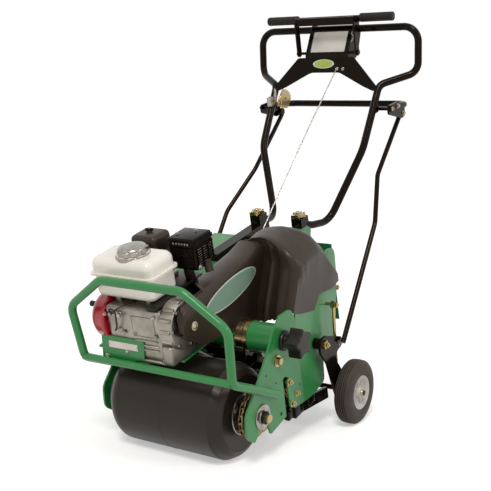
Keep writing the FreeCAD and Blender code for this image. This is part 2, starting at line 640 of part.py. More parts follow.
def cover_form(inset):
    """Outer form of the cover, or its cavity when inset by the wall."""
    back, rise, nose = -S.crank_lead, S.crank_rise, S.nose_radius
    start = S.cover_inner - (20 if inset else 0)
    nose_start = S.nose_inner - (20 if inset else 0)
    run = [(60, rise + nose, 0), (back - nose, rise + nose, nose - 0.2), (back - nose, rise - nose, nose - 12),
           (back + 40, rise - nose - 4, 30), (80, 188, 0)]
    channel = [(58, rise + nose, 0), (58, 192, 0), (150, 170, 30), (300, 162, 40), (420, 200, 30), (420, 366, 20)]
    profile = [(226, 186, 8), (226, 380, 90), (330, 400, 60), (430, 394, 60), (545, 270, 24), (545, 182, 8),
               (470, 182, 20), (392, 200, 20), (300, 196, 30)]
    plan = [(-10, 250, 0), (60, 262, 20), (98, 300, 14), (150, 276, 30), (216, 228, 26), (S.hump_outer, 234, 26),
            (S.hump_outer - inboard(552), 552, 0), (-10, 552, 0)]
    across = [(-10, 120, 0), (-10, 340, 0), (14, 348, 20), (86, 402, 50), (190, 402, 60), (262, 330, 60), (270, 120, 0)]
    reach = S.hump_outer + 20
    nose_part = prism(run, ("side", Vector(S.cover_outer - inset - nose_start, 0, 0)), nose_start, inset)
    body = prism(channel, ("side", Vector(S.cover_outer - inset - start, 0, 0)), start, inset)
    side_view = prism(profile, ("side", Vector(reach - start, 0, 0)), start, inset)
    top_view = prism(plan, ("plan", Vector(0, 0, 400)), 100, inset)
    end_view = prism(across, ("end", Vector(0, 500, 0)), 100, inset)
    hump = side_view.common(top_view).common(end_view)
    return nose_part.fuse([body, hump]).removeSplitter()


def belt_cover():
    """Moulded cover, open underneath, at the rear and towards the engine."""
    outer, cavity = cover_form(0), cover_form(S.cover_wall)
    below, behind = cavity.copy(), cavity.copy()
    below.translate(Vector(0, 0, -16))
    behind.translate(Vector(0, 16, 0))
    shell = outer.cut([cavity, below, behind, forms["left_side_plate"]])
    cover = max(shell.Solids, key=lambda solid: solid.Volume)
    bulge = Part.makeCone(44, 26, 10, Vector(S.hump_outer - 10, 322, 312), Vector(1, 0, 0))
    feature("belt_cover", fuse(cover, bulge.cut(cavity)))


# ---------------------------------------------------------------- engine
def engine():
    base, crank_back, crank_rise = S.deck_top, -S.crank_lead, S.crank_rise
    case = block(S.block_left, -102, base + 8, S.block_right - 14, 34, 336)
    case = case.makeFillet(16, [e for e in case.Edges if abs(e.Vertexes[0].Z - e.Vertexes[-1].Z) > 50])
    foot = block(S.block_left - 8, -102, base, S.block_right - 8, 42, base + 9)
    cover = cylinder(S.block_right - 16, crank_back, crank_rise, 66, 16)
    boss = cylinder(S.block_right, crank_back, crank_rise, 26, 6)
    posts = block(-150, -60, 330, -130, 20, S.tank_bottom).fuse(block(-40, -60, 330, -20, 20, S.tank_bottom))
    shaft_hole = cylinder(S.block_right - 30, crank_back, crank_rise, 10 + S.running_gap, 60)
    feature("engine_block", fuse(case, foot, cover, boss, posts).cut(shaft_hole))
    head = []
    for k in range(8):
        head.append(block(-142, 38 + 12 * k, 232, -22, 44 + 12 * k, 336))
    head.append(block(-126, 30, 250, -38, 128, 318))
    head.append(block(-134, 128, 244, -30, 152, 326))
    cylinder_shape = fuse(*head)
    feature("cylinder_head", cylinder_shape.cut(block(-200, 0, 200, 20, 34, 400)))
    turned("fan_cover",
           [(S.fan_cover_end, 0), (S.fan_cover_end, 40, 4), (S.fan_cover_end + 8, 60, 8),
            (S.fan_cover_end + 26, S.fan_cover_radius, 10), (S.block_left, S.fan_cover_radius, 0), (S.block_left, 0)],
           crank_back, crank_rise)
    tank()
    muffler()
    cleaner = block(S.cleaner_left, 64, 404, S.cleaner_right, 150, 478)
    cleaner = cleaner.makeFillet(14, [e for e in cleaner.Edges if e.CenterOfMass.z > 440])
    stem = block(-140, 84, 330, -108, 128, 404)
    knob = Part.makeCylinder(11, 9, Vector(-124, 107, 478), Vector(0, 0, 1))
    feature("air_cleaner", fuse(cleaner, stem.cut(cylinder_shape), knob))
    turned("starter_grip", [(0, 0), (0, 9, 3), (26, 7, 3), (26, 0)], crank_back, crank_rise + 22, side=S.fan_cover_end - 26.3)


def tank():
    """Pressed tank with its seam flange; filler cap on top."""
    seam = S.tank_seam
    lower = block(S.tank_left + 6, S.tank_front + 6, S.tank_bottom, S.tank_right - 6, S.tank_rear - 6, seam)
    lower = lower.makeFillet(18, [e for e in lower.Edges if e.CenterOfMass.z < seam - 6])
    upper = block(S.tank_left + 2, S.tank_front + 2, seam, S.tank_right - 2, S.tank_rear - 2, S.tank_top)
    upper = upper.makeFillet(24, [e for e in upper.Edges if e.CenterOfMass.z > seam + 4])
    flange = block(S.tank_left - 4, S.tank_front - 4, seam - 3, S.tank_right + 4, S.tank_rear + 4, seam + 3)
    flange = flange.makeFillet(20, [e for e in flange.Edges if abs(e.CenterOfMass.z - seam) < 0.1])
    neck = Part.makeCylinder(S.cap_radius + 4, 4, Vector(S.cap_side, S.cap_back, S.tank_top - 1), Vector(0, 0, 1))
    feature("fuel_tank", fuse(lower, upper, flange, neck))
    body = doc.addObject("PartDesign::Body", "fuel_cap")
    sketch = attach(body, "XY_Plane")
    circle(sketch, 0, 0, S.cap_radius, "Sizes.cap_radius")
    pad(body, sketch, "22")
    place(body, "fuel_cap", side=S.cap_side, back=S.cap_back, rise=S.tank_top + 3.3)


def muffler():
    box_shape = block(S.muffler_left, 60, 406, S.muffler_right, 152, 484)
    box_shape = box_shape.makeFillet(9, [e for e in box_shape.Edges if e.CenterOfMass.z > 430])
    slots = []
    for k in range(7):
        slots.append(block(S.muffler_left + 10 + 11 * k, 58, 430, S.muffler_left + 15 + 11 * k, 63, 468))
        slots.append(block(S.muffler_right - 3, 72 + 11 * k, 430, S.muffler_right + 3, 77 + 11 * k, 468))
    pipe = Part.makeCylinder(13, 80, Vector(-4, 110, 326), Vector(0, 0, 1))
    port = block(-22, 96, 300, 8, 124, 340)
    feature("muffler", fuse(box_shape.cut(Part.makeCompound(slots)), pipe, port))


# ---------------------------------------------------------------- wheel lift
def wheel_frame():
    """Bell crank on each side, joined by the wheel axle."""
    back, rise = S.lift_pivot_back, S.lift_pivot_rise
    rod_back, rod_rise = back + S.lift_arm_back, rise - S.lift_arm_drop
    outline = [(back - 22, rise + 20, 20), (back + 18, rise + 20, 16), (rod_back + 14, rod_rise + 14, 13),
               (rod_back + 14, rod_rise - 15, 13), (back + 52, rise - 62, 24), (WHEEL_BACK + 20, WHEEL_RISE + 26, 18),
               (WHEEL_BACK + 20, WHEEL_RISE - 20, 18), (WHEEL_BACK - 52, WHEEL_RISE - 12, 10),
               (back + 8, rise - 70, 30), (back - 22, rise - 22, 20)]
    leg = slab(outline, S.leg_side, S.leg_thickness)
    inner = S.plate_inner
    boss = cylinder(inner - 0.8, back, rise, 17, S.leg_side - inner + 2)
    leg = leg.fuse(boss).cut(cylinder(0, back, rise, 8 + S.running_gap, 400))
    stud = cylinder(S.leg_side + S.leg_thickness, rod_back, rod_rise, 6, 3)
    leg = leg.fuse(stud)
    end = S.wheel_outer + 8
    axle = cylinder(-end, WHEEL_BACK, WHEEL_RISE, S.wheel_axle_radius, 2 * end)
    feature("wheel_frame", fuse(axle, leg, mirrored(leg)))
    pins = cylinder(inner - 8, back, rise, 8, S.leg_side + S.leg_thickness + 8 - inner + 8)
    head = hexagon(S.leg_side + S.leg_thickness + 0.4, back, rise, 24, 8)
    guide = cylinder(inner - 25, S.guide_back, S.guide_rise, 5, S.frame_half_width + 22 - inner + 25)
    cap = hexagon(S.frame_half_width + 15.5, S.guide_back, S.guide_rise, 16, 7)
    stem = hexagon(S.frame_half_width + 3, 109, 120, 19, 11).fuse(cylinder(S.frame_half_width, 109, 120, 17, 3))
    side = [pins.fuse(head).cut(forms["left_side_plate"]), guide.fuse(cap).cut(forms["left_side_plate"]), stem]
    side = [max(shape.Solids, key=lambda solid: solid.CenterOfMass.x) for shape in side]
    side.append(cylinder(S.inner_plate_side + S.plate_thickness, S.idler_pivot_back, S.idler_pivot_rise, 5, 84))
    feature("frame_bolts", Part.makeCompound(side + [mirrored(s) for s in side[:3]]))
    bar_end = Vector(S.guide_side, S.guide_foot_back, -S.guide_foot_drop)
    bar_start = Vector(S.guide_side, S.guide_back, S.guide_rise)
    direction = (bar_end - bar_start).normalize()
    bar = Part.makeCylinder(S.guide_radius, (bar_end - bar_start).Length, bar_start, direction)
    eye = cylinder(S.guide_side - 6, S.guide_back, S.guide_rise, 11, 12)
    rod = bar.fuse(eye).cut(cylinder(200, S.guide_back, S.guide_rise, 5 + S.running_gap, 100))
    feature("guide_rods", Part.makeCompound([rod, mirrored(rod)]))


def wheels():
    """Semi-pneumatic tyre with moulded ribs on a dished rim, one pair each side."""
    width, edge = S.wheel_width, S.wheel_width * 0.18
    for label, side in (("left", S.wheel_inner), ("right", -S.wheel_outer)):
        tyre = [(4, S.rim_radius), (0, S.rim_radius + 12, 6), (2, S.wheel_radius - 14, 10),
                (edge, S.wheel_radius, 8)]
        for k in range(3):
            groove, half = width * (0.29 + 0.145 * k), width / 36
            tyre += [(groove, S.wheel_radius), (groove + half, S.wheel_radius - 2.5), (groove + 2 * half, S.wheel_radius)]
        tyre += [(width - edge, S.wheel_radius, 8), (width - 2, S.wheel_radius - 14, 10),
                 (width, S.rim_radius + 12, 6), (width - 4, S.rim_radius)]
        turned(f"{label}_tyre", tyre, WHEEL_BACK, WHEEL_RISE, side=side)
        bore, dish = S.wheel_axle_radius + S.running_gap, width * 0.22
        rim = [(2, bore), (2, 17), (dish, 17), (dish, 40), (4, 46), (4, S.rim_radius), (width - 4, S.rim_radius),
               (width - 4, 46), (width - dish, 40), (width - dish, 17), (width - 2, 17), (width - 2, bore)]
        turned(f"{label}_rim", rim, WHEEL_BACK, WHEEL_RISE, side=side)


def lift_linkage():
    """Bail behind the handle and the two bent rods down to the bell cranks."""
    top_back, top_rise = S.bail_back + S.lift_arm_back, S.bail_rise - S.lift_arm_drop
    foot_back, foot_rise = S.lift_pivot_back + S.lift_arm_back, S.lift_pivot_rise - S.lift_arm_drop
    foot_side = S.leg_side + S.leg_thickness + 3 + S.rod_radius + 0.3
    run, climb = top_back - foot_back, top_rise - 14 - foot_rise
    rod = bent_tube([(236, top_back, top_rise - 14), (241, foot_back + 0.6733 * run, foot_rise + 0.7407 * climb),
                     (foot_side - 3, foot_back + 0.4534 * run, foot_rise + 0.5296 * climb),
                     (foot_side, foot_back, foot_rise)], [90, 90], S.rod_radius)
    eye = cylinder(228, top_back, top_rise, 13, 16)
    neck = Part.makeCylinder(S.rod_radius, 12, Vector(236, top_back, top_rise - 16), Vector(0, 0, 1))
    rod = fuse(rod, eye, neck).cut(cylinder(200, top_back, top_rise, 6 + S.running_gap, 80))
    feature("lift_rod_left", rod)
    feature("lift_rod_right", mirrored(rod))
    half = S.bail_half_width
    bar = bent_tube([(half, S.bail_back + 60, S.bail_rise - 6), (half, S.bail_bar_back, S.bail_bar_rise),
                     (-half, S.bail_bar_back, S.bail_bar_rise), (-half, S.bail_back + 60, S.bail_rise - 6)],
                    [42, 42], S.handle_radius - 1)
    shapes = [bar]
    arm = slab([(S.bail_back - 16, S.bail_rise + 14, 12), (S.bail_back + 60, S.bail_rise + 10, 4),
                (S.bail_back + 112, S.bail_rise - 12, 10), (top_back + 14, top_rise - 14, 13),
                (top_back - 16, top_rise - 14, 13), (S.bail_back - 16, S.bail_rise - 16, 12)], half + 7, 6)
    arm = arm.cut(cylinder(0, S.bail_back, S.bail_rise, 6 + S.running_gap, 400))
    weld = cylinder(half - 4, top_back, top_rise, 6, 12)
    shapes += [arm, mirrored(arm), cylinder(228, top_back, top_rise, 6, 20), cylinder(-248, top_back, top_rise, 6, 20)]
    feature("lift_bail", fuse(*shapes))


# ---------------------------------------------------------------- handle
def handle():
    half = [(S.clamp_side, 590, 341), (95, 659, 312), (107, 752, 292), (195, S.leg_low_back, S.leg_low_rise),
            (202, S.leg_high_back, S.leg_high_rise), (307, 1112, 712), (307, 1140, 861)]
    points = half + [(-x, y, z) for x, y, z in reversed(half)]
    bends = [70, 62, 150, 40, 44, 52]
    tube = bent_tube(points, bends + bends[::-1], S.handle_radius)
    lug = slab([(S.bail_back - 34, S.bail_rise + 12, 4), (S.bail_back + 12, S.bail_rise + 12, 11),
                (S.bail_back + 12, S.bail_rise - 12, 11), (S.bail_back - 34, S.bail_rise - 12, 4)], 196, 8)
    arm_side = S.bail_half_width + 7
    pin = cylinder(200, S.bail_back, S.bail_rise, 6, arm_side + 10 - 200)
    pin = pin.fuse(cylinder(arm_side + 6.4, S.bail_back, S.bail_rise, 10, 4))
    feature("handle_tube", fuse(tube, lug, pin, mirrored(lug), mirrored(pin)))
    clamps = []
    for side in (1, -1):
        middle = S.clamp_side * side
        block_shape = block(middle - 19, 588, 325, middle + 19, 634, 356)
        clamps.append(block_shape.cut(tube))
    solids = [max(c.Solids, key=lambda s: s.Volume) for c in clamps]
    feature("handle_clamps", Part.makeCompound(solids))
    top = S.housing_top
    arm = block(-S.clamp_side - 20, 330, top, -S.clamp_side + 20, 640, top + 25)
    feature("handle_bracket_right", arm.cut(forms["handle_tube"]))
    rear = S.housing_rear + S.sheet_thickness
    gusset = slab([(rear, 150, 0), (rear, top, 0), (rear + 8, top + 25, 0), (640, top + 25, 4), (640, top, 6),
                   (rear + 50, 190, 20)], S.clamp_side - 20, 40)
    feature("handle_bracket_left", gusset.cut(forms["handle_tube"]))
    for label, side in (("left", 1), ("right", -1)):
        knob("star_knob_" + label, S.clamp_side * side, 604, 356.3)


def knob(label, side, back, rise):
    """Five-lobed clamp knob on its stud, axis along chassis Z."""
    body = doc.addObject("PartDesign::Body", label)
    sketch = attach(body, "XY_Plane")
    points = []
    for i in range(10):
        radius = 27 if i % 2 == 0 else 11
        angle = math.radians(36 * i)
        points.append((radius * math.cos(angle), radius * math.sin(angle), 3.5))
    draw(sketch, points)
    pad(body, sketch, "14")
    hub = attach(body, "XY_Plane")
    circle(hub, 0, 0, 9)
    pad(body, hub, "19")
    place(body, label, side=side, back=back, rise=rise)


def console():
    """Dash plate between the handle legs and the tilted console box that it carries."""
    outline = [(-204, -6, 6), (-108, 98, 16), (108, 98, 16), (204, -6, 6), (188, -18, 6), (150, -2, 30),
               (56, 46, 50), (-56, 46, 50), (-150, -2, 30), (-188, -18, 6)]
    edges = rounded_edges(outline, lambda a, b: Vector(a, 0, b))
    dash = Part.Face(Part.Wire([e.toShape() for e in edges])).extrude(Vector(0, -S.sheet_thickness - 1, 0))
    dash.rotate(Vector(), Vector(1, 0, 0), -S.dash_lean)
    dash.translate(Vector(0, S.dash_back, S.dash_rise))
    tube = forms["handle_tube"]
    feature("dash_plate", max(dash.cut(tube).Solids, key=lambda s: s.Volume))
    lean = math.radians(S.dash_lean)
    foot = [(S.dash_back + z * math.sin(lean), S.dash_rise + z * math.cos(lean), 0) for z in (70, 98)]
    box_points = [*foot, (1050, 792, 4), (1112, 878, 6), (1156, 876, 12), (1120, 806, 14), (1074, 758, 8)]
    box_shape = slab(box_points, -S.console_half, 2 * S.console_half).cut(tube)
    ends = []
    for side in (1, -1):
        base = S.console_half - 2
        pin = cylinder(base, S.clutch_back, S.clutch_rise, 5, S.clutch_side + 3.4 - base)
        pin = pin.fuse(cylinder(S.clutch_side + 3.4, S.clutch_back, S.clutch_rise, 8, 4))
        ends.append(pin if side > 0 else mirrored(pin))
    feature("console_box", fuse(box_shape, *ends))


def clutch():
    """Operator's bail above the handle bar with its two grips."""
    back, rise, side = S.clutch_back, S.clutch_rise, S.clutch_side
    arm = slab([(back - 12, rise - 12, 11), (back - 10, rise + 110, 6), (back + 14, rise + 112, 6),
                (back + 12, rise - 12, 11)], side - 3, 6)
    bar = cylinder(-238, 1090, 906, 9, 476)
    web = block(-side, back - 6, rise + 96, side, back - 1, rise + 122)
    tie = block(side - 3, 1060, 890, side + 3, 1092, 908)
    body = fuse(arm, mirrored(arm), bar, web, tie, mirrored(tie))
    body = body.cut(cylinder(-300, back, rise, 5 + S.running_gap, 600))
    feature("clutch_bail", body)
    grips = [ring(side + 8, 1090, 906, S.grip_radius, 9, 122), ring(-side - 130, 1090, 906, S.grip_radius, 9, 122)]
    feature("bail_grips", Part.makeCompound(grips))


def controls():
    """Clutch cable, throttle control, lift latch sector and the plate clamp knob."""
    cable = bent_tube([(48, 1058, 770), (24, 744, 545), (2, 436, 298)], [400], 2.0)
    cable = cable.cut(Part.makeCompound([forms["console_box"], forms["tine_housing"],
                                    forms["dash_plate"]]))
    feature("clutch_cable", max(cable.Solids, key=lambda s: s.Volume))
    tube = forms["handle_tube"]
    back, rise = S.leg_low_back + 102, S.leg_low_rise + 140
    stop = block(-204, back - 26, rise - 16, -187.5, back + 1.5, rise + 14).cut(tube)
    feature("throttle_control", max(stop.Solids, key=lambda solid: solid.Volume))
    lever = slab([(back - 6, rise, 2), (back + 4, rise + 42, 3), (back + 12, rise + 42, 3), (back + 7, rise, 2)], -187.2, 3.5)
    feature("throttle_lever", lever.fuse(cylinder(-187.2, back, rise, 9, 3.5)).removeSplitter())
    sector = slab([(back, rise - 8, 4), (back + 55, rise + 28, 8), (back + 87, rise, 8), (back + 74, rise - 42, 8),
                   (back, rise - 28, 4)], -180, 4)
    feature("latch_sector", sector.fuse(cylinder(-196, back + 10, rise - 16, 8, 17)).cut(tube))
    lobes = []
    for i in range(10):
        radius = 48 if i % 2 == 0 else 37
        angle = math.radians(36 * i)
        lobes.append((radius * math.cos(angle), radius * math.sin(angle), 8))
    grip = slab(lobes, 24, 42)
    stem = cylinder(0, 0, 0, 27, 24)
    feature("clamp_knob", fuse(grip, stem), side=S.frame_half_width + 0.3, back=S.weight_tube_back,
            rise=S.weight_tube_rise)


chassis_plates()
deck()
lower_rails()
guard()
shafts()
drum()
reel()
jackshaft()
belt_drive()
chains()
belt_cover()
engine()
wheel_frame()
wheels()
lift_linkage()
handle()
console()
clutch()
controls()
doc.recompute()

for item in doc.Objects:
    if {"Invalid", "Error"} & set(item.State):
        raise RuntimeError(f"{item.Label}: {item.State}")
for node in nodes:
    if node.Shape.isNull() or not node.Shape.isValid():
        raise RuntimeError(f"{node.Label}: bad shape")
os.makedirs("parts", exist_ok=True)
for node in nodes:
    node.Shape.exportStep(f"parts/{node.Label}.step")
print(len(nodes), "sub-parts written")
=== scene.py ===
"""Looks of a walk-behind core aerator: camera, studio, finishes and the small parts on its frame.

Pieces are drawn in millimetres in the chassis frame of the solids: X to the machine's left, Y back
and Z up from the deck, origin on the drum axle.  dress() stands them on the ground.
"""
import json
import math

import bmesh
import bpy
from mathutils import Matrix, Vector


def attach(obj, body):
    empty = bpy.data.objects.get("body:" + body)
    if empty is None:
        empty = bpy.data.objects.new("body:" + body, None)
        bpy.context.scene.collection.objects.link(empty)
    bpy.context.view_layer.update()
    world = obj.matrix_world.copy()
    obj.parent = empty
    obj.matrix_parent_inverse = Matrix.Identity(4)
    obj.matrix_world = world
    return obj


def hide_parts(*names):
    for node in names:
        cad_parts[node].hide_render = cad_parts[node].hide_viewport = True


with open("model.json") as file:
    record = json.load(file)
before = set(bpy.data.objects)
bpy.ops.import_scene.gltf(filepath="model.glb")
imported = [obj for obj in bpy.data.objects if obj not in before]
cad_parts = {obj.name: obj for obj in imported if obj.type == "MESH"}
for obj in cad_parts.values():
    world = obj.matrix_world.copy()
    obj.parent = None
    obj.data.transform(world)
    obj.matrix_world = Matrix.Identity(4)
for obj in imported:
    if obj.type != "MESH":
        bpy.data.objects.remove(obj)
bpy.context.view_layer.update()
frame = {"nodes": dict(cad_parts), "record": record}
nodes = frame["nodes"]

TILT = math.radians(14)
CHASSIS = Matrix.Translation((0, -0.38175, 0.139)) @ Matrix.Rotation(TILT, 4, "X") @ Matrix.Scale(0.001, 4)
PLATE = 256                        # outer face of the side plates
CRANK = (-37, 276)                 # back and rise of the crankshaft
WHEEL = (433.2, -146.6)            # back and rise of the wheel axle
PLATE_BEND = 0.0875                # slope at which the rear of the side plates runs inboard
BALLAST = (155, 162)               # back and rise of the ballast tube
FILLER = (-80, -28)                # side and back of the tank's filler
KNOB_SIDE, KNOB_BACK = 79, 604     # place of the handle clamps' star knobs
CABLE = ((48, 1058, 770), (24, 744, 545), (2, 436, 298))

# ---------------------------------------------------------------- camera
camera = bpy.data.objects.new("Camera", bpy.data.cameras.new("Camera"))
bpy.context.scene.collection.objects.link(camera)
camera.location = (1.59769, -2.53776, 1.0251)
camera.rotation_euler = (math.radians(90 - 9.03), 0, math.radians(32.96))
camera.data.lens = 69.86
camera.data.sensor_width = 36
bpy.context.scene.camera = camera
bpy.context.scene.view_settings.view_transform = "Standard"


# ---------------------------------------------------------------- helpers
def linear(code):
    """sRGB hex as linear RGBA."""
    parts = [int(code[i:i + 2], 16) / 255 for i in (1, 3, 5)]
    return [*(c / 12.92 if c <= 0.04045 else ((c + 0.055) / 1.055) ** 2.4 for c in parts), 1.0]


def add(tree, kind, inputs=None, **settings):
    """A node with its settings, and its inputs set or linked."""
    made = tree.nodes.new(kind)
    for name, value in settings.items():
        setattr(made, name, value)
    for key, value in (inputs or {}).items():
        if isinstance(value, bpy.types.NodeSocket):
            tree.links.new(value, made.inputs[key])
        else:
            made.inputs[key].default_value = value
    return made


def finished(mesh, name, material, smooth=None):
    """The bmesh as an object, its place left in its mesh."""
    data = bpy.data.meshes.new(name)
    mesh.to_mesh(data)
    mesh.free()
    piece = bpy.data.objects.new(name, data)
    bpy.context.scene.collection.objects.link(piece)
    if material:
        data.materials.append(material)
    if smooth:
        data.shade_smooth()
        data.set_sharp_from_angle(angle=math.radians(smooth))
    return piece


def dress(mesh, name, slot, body="chassis", instead=(), look=None, smooth=32, soften=0.0):
    """Stand the drawn mesh on the chassis, give it its finish and tie it to its body."""
    bmesh.ops.transform(mesh, matrix=CHASSIS, verts=mesh.verts)
    piece = finished(mesh, name, look or finish[slot], smooth)
    if soften:
        edge = piece.modifiers.new("Rounded edges", "BEVEL")
        edge.width, edge.segments, edge.limit_method = soften * 0.001, 2, "ANGLE"
        edge.angle_limit = math.radians(40)
        edge.harden_normals = False
    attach(piece, body)
    if instead:
        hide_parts(*instead)
    return piece


def along(at, axis):
    """Matrix whose Z axis points along axis from the point at."""
    return Matrix.Translation(at) @ Vector(axis).to_track_quat("Z", "Y").to_matrix().to_4x4()


def rod(mesh, at, axis, radius, length, sides=28, end=None):
    """Round bar from a point; end is its radius at the far end."""
    bmesh.ops.create_cone(mesh, cap_ends=True, segments=sides, radius1=radius,
                          radius2=radius if end is None else end, depth=length,
                          matrix=along(at, axis) @ Matrix.Translation((0, 0, length / 2)))


def brick(mesh, low, high, corner=0.0, steps=3):
    """Box between two corners, its edges rounded."""
    low, high = Vector(low), Vector(high)
    size = Matrix.Diagonal((*(high - low), 1))
    verts = bmesh.ops.create_cube(mesh, size=1, matrix=Matrix.Translation((low + high) / 2) @ size)["verts"]
    if corner:
        edges = {e for v in verts for e in v.link_edges}
        bmesh.ops.bevel(mesh, geom=list(edges), offset=corner, segments=steps, affect="EDGES", profile=0.5,
                        material=-1)


def lathe(mesh, at, axis, profile, steps=64, closed=False):
    """Profile of (distance, radius) spun about an axis through the point at."""
    old = set(mesh.verts)
    verts = [mesh.verts.new((radius, 0, distance)) for distance, radius in profile]
    pairs = list(zip(verts, verts[1:])) + ([(verts[-1], verts[0])] if closed else [])
    edges = [mesh.edges.new(pair) for pair in pairs]
    bmesh.ops.spin(mesh, geom=verts + edges, cent=(0, 0, 0), axis=(0, 0, 1), angle=2 * math.pi, steps=steps,
                   use_merge=True)
    fresh = [v for v in mesh.verts if v not in old]
    bmesh.ops.remove_doubles(mesh, verts=fresh, dist=0.001)
    fresh = [v for v in mesh.verts if v not in old]
    faces = list({f for v in fresh for f in v.link_faces})
    bmesh.ops.recalc_face_normals(mesh, faces=faces)
    bmesh.ops.transform(mesh, matrix=along(at, axis), verts=fresh)
    return faces


FACING = {"side": Matrix(((0, 0, 1, 0), (1, 0, 0, 0), (0, 1, 0, 0), (0, 0, 0, 1))),
          "front": Matrix(((1, 0, 0, 0), (0, 0, -1, 0), (0, 1, 0, 0), (0, 0, 0, 1))),
          "top": Matrix.Identity(4)}


def slab(mesh, points, facing, start, thickness, corner=0.0, steps=4):
    """Flat outline in a plane, its corners rounded, thickened along the plane's normal."""
    old = set(mesh.verts)
    mesh.faces.new([mesh.verts.new((a, b, start)) for a, b in points])
    if corner:
        bmesh.ops.bevel(mesh, geom=[v for v in mesh.verts if v not in old], offset=corner, segments=steps,
                        affect="VERTICES", profile=0.5, material=-1)
    fresh = [v for v in mesh.verts if v not in old]
    face = list({f for v in fresh for f in v.link_faces})
    moved = bmesh.ops.extrude_face_region(mesh, geom=face)["geom"]
    bmesh.ops.translate(mesh, verts=[v for v in moved if isinstance(v, bmesh.types.BMVert)],
                        vec=(0, 0, thickness))
    fresh = [v for v in mesh.verts if v not in old]
    bmesh.ops.recalc_face_normals(mesh, faces=list({f for v in fresh for f in v.link_faces}))
    bmesh.ops.transform(mesh, matrix=facing if isinstance(facing, Matrix) else FACING[facing], verts=fresh)


def ellipse(back, rise, long, short, lean=0.0):
    """Forty points of an ellipse, turned by lean degrees."""
    turn, points, count = math.radians(lean), [], 40
    for i in range(count):
        a, b = long * math.cos(2 * math.pi * i / count), short * math.sin(2 * math.pi * i / count)
        points.append((back + a * math.cos(turn) - b * math.sin(turn),
                       rise + a * math.sin(turn) + b * math.cos(turn)))
    return points


def star(lobes, tip, root, turn=0.0):
    """Points of a knob outline with that many lobes."""
    points = []
    for i in range(2 * lobes):
        reach, angle = root if i % 2 else tip, i * (math.pi / lobes) + turn
        points.append((reach * math.cos(angle), reach * math.sin(angle)))
    return points


def wire(mesh, points, radius, sides=3):
    """Smooth bent wire or tube through a NURBS route."""
    curve = bpy.data.curves.new("Route", "CURVE")
    curve.dimensions = "3D"
    curve.bevel_depth, curve.bevel_resolution, curve.use_fill_caps = radius, sides, True
    spline = curve.splines.new("NURBS")
    spline.points.add(len(points) - 1)
    for place, point in zip(spline.points, points):
        place.co = (*point, 1)
    spline.order_u = 3
    spline.use_endpoint_u = True
    route = bpy.data.objects.new("Route", curve)
    made = bpy.data.meshes.new_from_object(route)
    mesh.from_mesh(made)
    bpy.data.objects.remove(route)
    bpy.data.curves.remove(curve)
    bpy.data.meshes.remove(made)


def bolt(mesh, at, axis, across=16, washer=12, stud=5):
    """Washer, hexagon nut and stud end, standing on a face."""
    lathe(mesh, at, axis, [(0, 0), (0, washer), (1.4, washer), (2, washer - 1), (2, 0)], 28)
    step = Vector(axis).normalized()
    head, corner = across * 0.42, across / 1.73
    base = Vector(at) + step * 2
    lathe(mesh, base, axis, [(0, 0), (0, corner), (head - 1.5, corner), (head, across / 2 - 0.5), (head, 0)], 6)
    if stud:
        lathe(mesh, base + step * (head - 0.5), axis,
              [(0, 0), (0, across * 0.26), (stud - 1, across * 0.26), (stud, across * 0.2), (stud, 0)], 20)


def louvres(mesh, origin, across, up, columns, rows, width, height, depth):
    """Panel of recessed slots: a grid whose alternate cells are inset and pushed in."""
    across, up = Vector(across), Vector(up)
    normal = across.cross(up).normalized()
    grid = {}
    for i in range(2 * columns + 2):
        for j in range(2 * rows + 2):
            u = (i // 2) / columns + (-0.5 if i % 2 == 0 else 0.5) * (1 - width) / columns
            v = (j // 2) / rows + (-0.5 if j % 2 == 0 else 0.5) * (1 - height) / rows
            u, v = min(max(u, 0), 1), min(max(v, 0), 1)
            grid[i, j] = mesh.verts.new(Vector(origin) + across * u + up * v)
    holes = []
    for i in range(2 * columns + 1):
        for j in range(2 * rows + 1):
            face = mesh.faces.new([grid[i, j], grid[i + 1, j], grid[i + 1, j + 1], grid[i, j + 1]])
            if i % 2 and j % 2:
                holes.append(face)
    bmesh.ops.inset_individual(mesh, faces=holes, thickness=0.01)
    for face in holes:
        bmesh.ops.translate(mesh, verts=face.verts, vec=-normal * depth)


